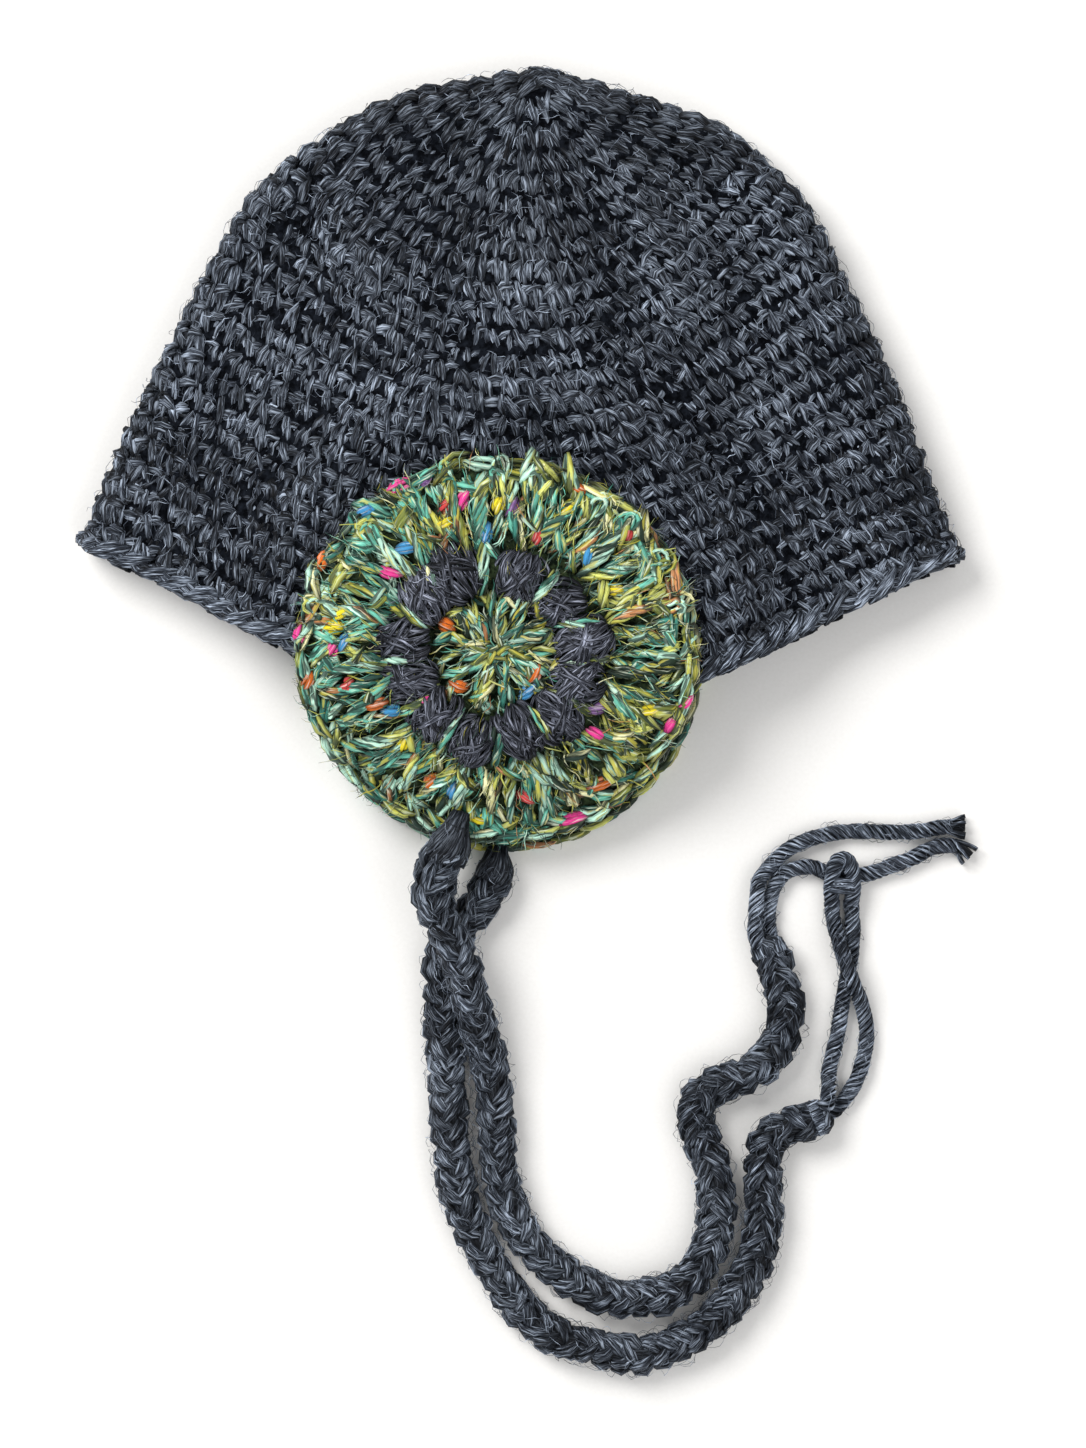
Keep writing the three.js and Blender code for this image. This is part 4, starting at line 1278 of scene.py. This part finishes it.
def arches(yarn, flap, count=11):
    """Hairpin loops that stand out past the rim over the crown."""
    t = np.linspace(0, 1, 9)
    for k in range(count):
        middle = math.radians(8 + 164 * (k + 0.5) / count) + rng.normal(0, 0.03)
        half = rng.uniform(0.05, 0.08)
        for ply in range(4):
            opening = half * (1 - 0.22 * ply)
            angle = middle + opening * np.cos(math.pi * t) * (0.6 + 0.4 * np.sin(math.pi * t))
            angle = angle + rng.normal(0, 0.012) + 0.02 * np.sin(4 * t + rng.uniform(0, 6.28))
            radius = 52.5 + (9.4 - 1.1 * ply + rng.normal(0, 0.8)) * np.sin(math.pi * t) ** 0.7
            point, _, _, up = flap.place(np.minimum(radius, 63.6), angle)
            path = point + up * (1.1 * np.sin(math.pi * t) - 1 + 0.2 * ply)[:, None]
            # Painted shade on the plies' sides and undersides.
            yarn.add(path[None], rng.uniform(0.55, 0.8), 6,
                     np.cross(up, unit(np.gradient(path, axis=0)))[None],
                     mixed_tints(point[4:5, :2]), gloom=0.6)


def edging(yarn, flap, count=40):
    """A chain of slanting loops round the rim. It is neat below and ragged above."""
    girth = 2 * math.pi * 60 / count
    for radius, lean, rise, start, width in ((57.4, 64, 0.7, 0, 4.9), (60.9, 96, 0.8, 0.5, 4.8)):
        angle = even(count, start)
        ragged = 0.5 + 1.7 * smooth(np.sin(angle), -0.3, 0.6)
        flap_loops(yarn, flap, radius - 0.9 * ragged + spread(count, 0.8) * ragged, angle,
                   lean + spread(count, 14) * ragged, girth * 1.3, width, 2.6, rise, 0.5, 0.8,
                   4, same=0.6)
    if not flap.far:
        arches(yarn, flap)
    point, out, round_way, up = flap.place(np.full(count, 62), even(count, 0.25))
    for drop, lean in ((1.9, 10), (4.4, -10)):
        along = aimed(np.radians(lean + spread(count, 6)), round_way, up)
        low = point - up * drop + out * 0.2
        if flap.far:
            # Painted shade darkens the loops a little, most on their sides and undersides.
            plain_loops(yarn, low, along, out, girth * 1.4, 3, 1.4, 0.2, mixed_tints(low[:, :2]),
                        5, 6, 0.1, 0.4)
        else:
            bundle(yarn, low, along, out, girth * 1.4, 3.4, 1.8, 0.2,
                   ply_tints(low[:, :2], 2), 2, 6, 5, round_lay=True)


GROUND_RADII = [0.5, 10, 20, 27, 35, 45, 54, 59, 62]
GROUND_SIDES = 64


def flap_ground(name, flap, low, high):
    """The fabric of a flap, dark in part as painted shade of the gaps between its loops. low and
    high are heights for the far flap, and for the near one how far inside its two faces the fabric
    lies."""
    angles = even(GROUND_SIDES)
    tops, bottoms = [], []
    for radius in np.array(GROUND_RADII):
        radii = np.full(GROUND_SIDES, radius)
        plan = flap.plan(radii, angles)
        if flap.far:
            bottom, top = np.full(GROUND_SIDES, low), np.full(GROUND_SIDES, high)
        else:
            under = near_under(plan)
            bottom, top = under + low, under + thickness_at(radii) - high
        if radius == GROUND_RADII[-1]:
            bottom = top = (bottom + top) / 2
            bottom, top = bottom - 0.5, top + 0.5
        tops.append(np.column_stack([plan, top]))
        bottoms.append(np.column_stack([plan, bottom]))
    poles = [tops[0].mean(axis=0), bottoms[0].mean(axis=0)]
    return shell(name, tops + bottoms[::-1], poles, mixed_ground)


near_flap, far_flap = Flap(NEAR_FLAP, False), Flap(FAR_FLAP, True)
flap_ground("near_flap_ground", near_flap, 0.2, 2.7)
flap_ground("far_flap_ground", far_flap, 2.2, 7.2)
FLAP_PARTS = [
    ("centre", centre_posts, mixed, "mixed_yarn"),
    ("cluster_ring", clusters, cluster_slate, "slate_yarn"),
    ("outer_round", fans, mixed, "mixed_yarn"), ("edging", edging, mixed, "mixed_yarn"),
]
for label, flap, floor in (("near", near_flap, None), ("far", far_flap, FLOOR_LEVEL)):
    for round_name, build, material, slot in FLAP_PARTS:
        yarn = Yarn()
        build(yarn, flap)
        piece = yarn.make(f"{label}_flap_{round_name}_loops", material, floor)
        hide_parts(f"{label}_flap_{round_name}")

# Bright nubs spun into the mixed yarn: place, length, direction in degrees, colour
PINK, YELLOW, BLUE = (0.85, 0.06, 0.32), (0.86, 0.72, 0.03), (0.06, 0.3, 0.6)
ORANGE, VIOLET, RED = (0.72, 0.16, 0.02), (0.2, 0.1, 0.28), (0.6, 0.06, 0.06)
NUBS = [
    (-39.1, -6.4, 7, 20, PINK), (-17.3, -13.8, 4.5, 60, PINK), (-39.3, -35.8, 6, -15, PINK),
    (-67.6, -54.4, 4, 80, PINK), (-57.1, -59.4, 3, 60, PINK), (-28.1, -73.4, 3.5, 10, PINK),
    (50.6, -74.9, 4, 60, PINK), (44.8, -81.3, 5, 55, PINK), (22.6, -85.2, 5, -35, PINK),
    (16, -111.3, 8, 20, PINK), (-22.9, -15.5, 3, 40, RED), (32.1, -24, 3, 80, RED),
    (-53, -69.5, 3, 30, RED), (1.1, -103.9, 5, -40, RED), (4.7, -25.2, 4, 70, RED),
    (14.2, -16.1, 6, 40, YELLOW), (-6.6, -15.5, 4, 70, YELLOW), (-23.1, -20.5, 4.5, 30, YELLOW),
    (-55, -48, 4.5, 30, YELLOW), (-56.9, -52.7, 5, 0, YELLOW), (-35.9, -87.8, 4, 70, YELLOW),
    (-13.3, -110.5, 4.5, -20, YELLOW), (28.5, -41.1, 3.5, 0, YELLOW), (39.4, -77.9, 6, 10, YELLOW),
    (45.5, -76.8, 3.5, 0, YELLOW), (-46.6, -17.8, 4.5, 30, BLUE), (-34.5, -28.5, 6, 10, BLUE),
    (-10.8, -24.6, 6.5, 70, BLUE), (19.9, -30.9, 5, 75, BLUE), (-53.7, -57, 5, 60, BLUE),
    (2, -71.4, 5, 40, BLUE), (-20.7, -102.2, 5, 70, BLUE), (-39.1, -77.9, 4.5, 0, BLUE),
    (-66.2, -29, 4.5, 60, ORANGE), (16.7, -10.8, 4, -20, ORANGE), (-22.7, -51.9, 4.5, -25, ORANGE),
    (3.9, -66.3, 5, 60, ORANGE), (-18.8, -69.8, 4.5, -20, ORANGE), (-64.1, -68.3, 4.5, 70, ORANGE),
    (-27, -99.9, 4, 50, ORANGE), (24.3, -99.9, 8, 20, ORANGE), (-43.8, -75.8, 6, 15, ORANGE),
    (-2.9, -15.9, 5, 60, VIOLET), (-28.8, -8.2, 3.5, 50, VIOLET), (22.6, -76.8, 5, 0, VIOLET),
]


def nubs():
    yarn = Yarn()
    spots = np.array([nub[:4] for nub in NUBS], float)
    tint = np.array([nub[4] for nub in NUBS])
    count = len(tint)
    radius, angle = flap_polar(spots[:, :2])
    point, _, _, up = near_flap.place(np.minimum(radius, 61.5), angle)
    turn = np.radians(spots[:, 3])
    along = unit(without(np.column_stack([np.cos(turn), np.sin(turn), np.zeros(count)]), up))
    width = np.clip(3.7 + spread(count, 0.3), 3, 4.4)
    bundle(yarn, point + up * (1.5 - width * 0.3)[:, None], along, up, spots[:, 2] + 1.6, width,
           1.5, spread(count, 0.4), tint, 3, 6, 7, roll=0.5, own=0.1, close=0.35)
    return yarn.make("near_flap_nubs", bright)


nubs()


def crown_hairs():
    yarn = Yarn()
    pick = rng.choice(np.flatnonzero(seen), 1650)
    point, along, to_apex, normal = [value[pick] for value in stitches[:4]]
    count = len(pick)
    base = (point + along * rng.uniform(-4, 4, (count, 1))
            + to_apex * rng.uniform(-3, 3, (count, 1)))
    direction = turned(along, normal, rng.uniform(0, 2 * math.pi, count))
    tint = np.clip(1.3 + spread(count, 0.5), 0.6, 2.6)[:, None]
    hairs(yarn, base, direction, normal, rng.uniform(3, 9, count), rng.uniform(0.1, 1.1, count),
          0.1, rng.uniform(0.2, 1.1, count), tint)
    return yarn.make("crown_fuzz", slate, FUZZ_FLOOR_LEVEL)


def flap_hairs():
    """Fine hairs over the near flap, pale and dark ones, and round its rim."""
    yarn = Yarn()
    for count, low, high, tone in ((420, 34, 63, 1.1), (620, 3, 63.5, 0.1)):
        loose_strands(yarn, near_flap, count, low, high, (3, 11), (0.07, 0.14), 0.7, tone, 5, 3)
    count = 360
    angle = rng.uniform(0, 2 * math.pi, count)
    point, out, _, up = near_flap.place(np.full(count, 62.5), angle)
    hairs(yarn, point - up * rng.uniform(0, 5, (count, 1)),
          turned(out, up, spread(count, 0.9)), up, rng.uniform(3, 8, count),
          rng.uniform(0.1, 1, count), 0.09, rng.uniform(0.3, 1.5, count),
          mixed_tints(point[:, :2]) * 0.25)
    return yarn.make("near_flap_fuzz", mixed)


def cord_hairs():
    yarn = Yarn()
    for line, reach, many in ((near_line, 6.5, 460), (far_line, 6.5, 460),
                              *[(facts[1], 2.4, 70) for facts in strand_facts.values()]):
        at = rng.integers(2, len(line) - 2, many)
        forward = unit(line[at + 1] - line[at - 1])
        across = level_across(forward)
        out = aimed(rng.uniform(-1.9, 1.9, many), np.cross(forward, across), across)
        direction = turned(forward, out, rng.uniform(-1.2, 1.2, many))
        tint = np.clip(1.2 + spread(many, 0.4), 0.6, 2.4)[:, None]
        hairs(yarn, line[at] + out * reach, direction, out, rng.uniform(3, 8, many),
              rng.uniform(0.2, 1.7, many), 0.09, rng.uniform(0.2, 0.9, many), tint)
    return yarn.make("cord_fuzz", slate, FUZZ_FLOOR_LEVEL)


crown_hairs()
flap_hairs()
cord_hairs()

# Floor and light, in metres
FLOOR_REACH = 6.0
floor_mesh = bpy.data.meshes.new("floor")
floor_corners = [(FLOOR_REACH * x, FLOOR_REACH * y, 0)
                 for x, y in ((-1, -1), (1, -1), (1, 1), (-1, 1))]
floor_mesh.from_pydata(floor_corners, [], [(0, 1, 2, 3)])
floor_mesh.materials.append(floor_material())
floor_piece = bpy.data.objects.new("floor", floor_mesh)
bpy.context.scene.collection.objects.link(floor_piece)


def area_light(name, place, target, size, power, colour):
    data = bpy.data.lights.new(name, "AREA")
    data.shape = "DISK"
    data.size, data.energy, data.color = size, power, colour
    light = bpy.data.objects.new(name, data)
    light.location = place
    away = np.array(place, float) - np.array(target, float)
    flat = math.hypot(away[0], away[1])
    light.rotation_euler = (math.atan2(flat, away[2]), 0, math.atan2(away[0], -away[1]))
    bpy.context.scene.collection.objects.link(light)


area_light("key", (-1.0, 0.9, 1.5), (0, -0.08, 0), 1.15, 36, (1.0, 0.985, 0.96))
area_light("fill", (0.9, -0.9, 1.6), (0, -0.08, 0), 1.6, 10, (1.0, 0.98, 0.96))
world = bpy.data.worlds.new("studio")
world.use_nodes = True
world.node_tree.nodes["Background"].inputs[0].default_value = (0.99, 0.99, 0.99, 1)
world.node_tree.nodes["Background"].inputs[1].default_value = 0.64
bpy.context.scene.world = world
bpy.context.scene.view_settings.view_transform = "Standard"

print("triangles", sum(triangles.values()), triangles)
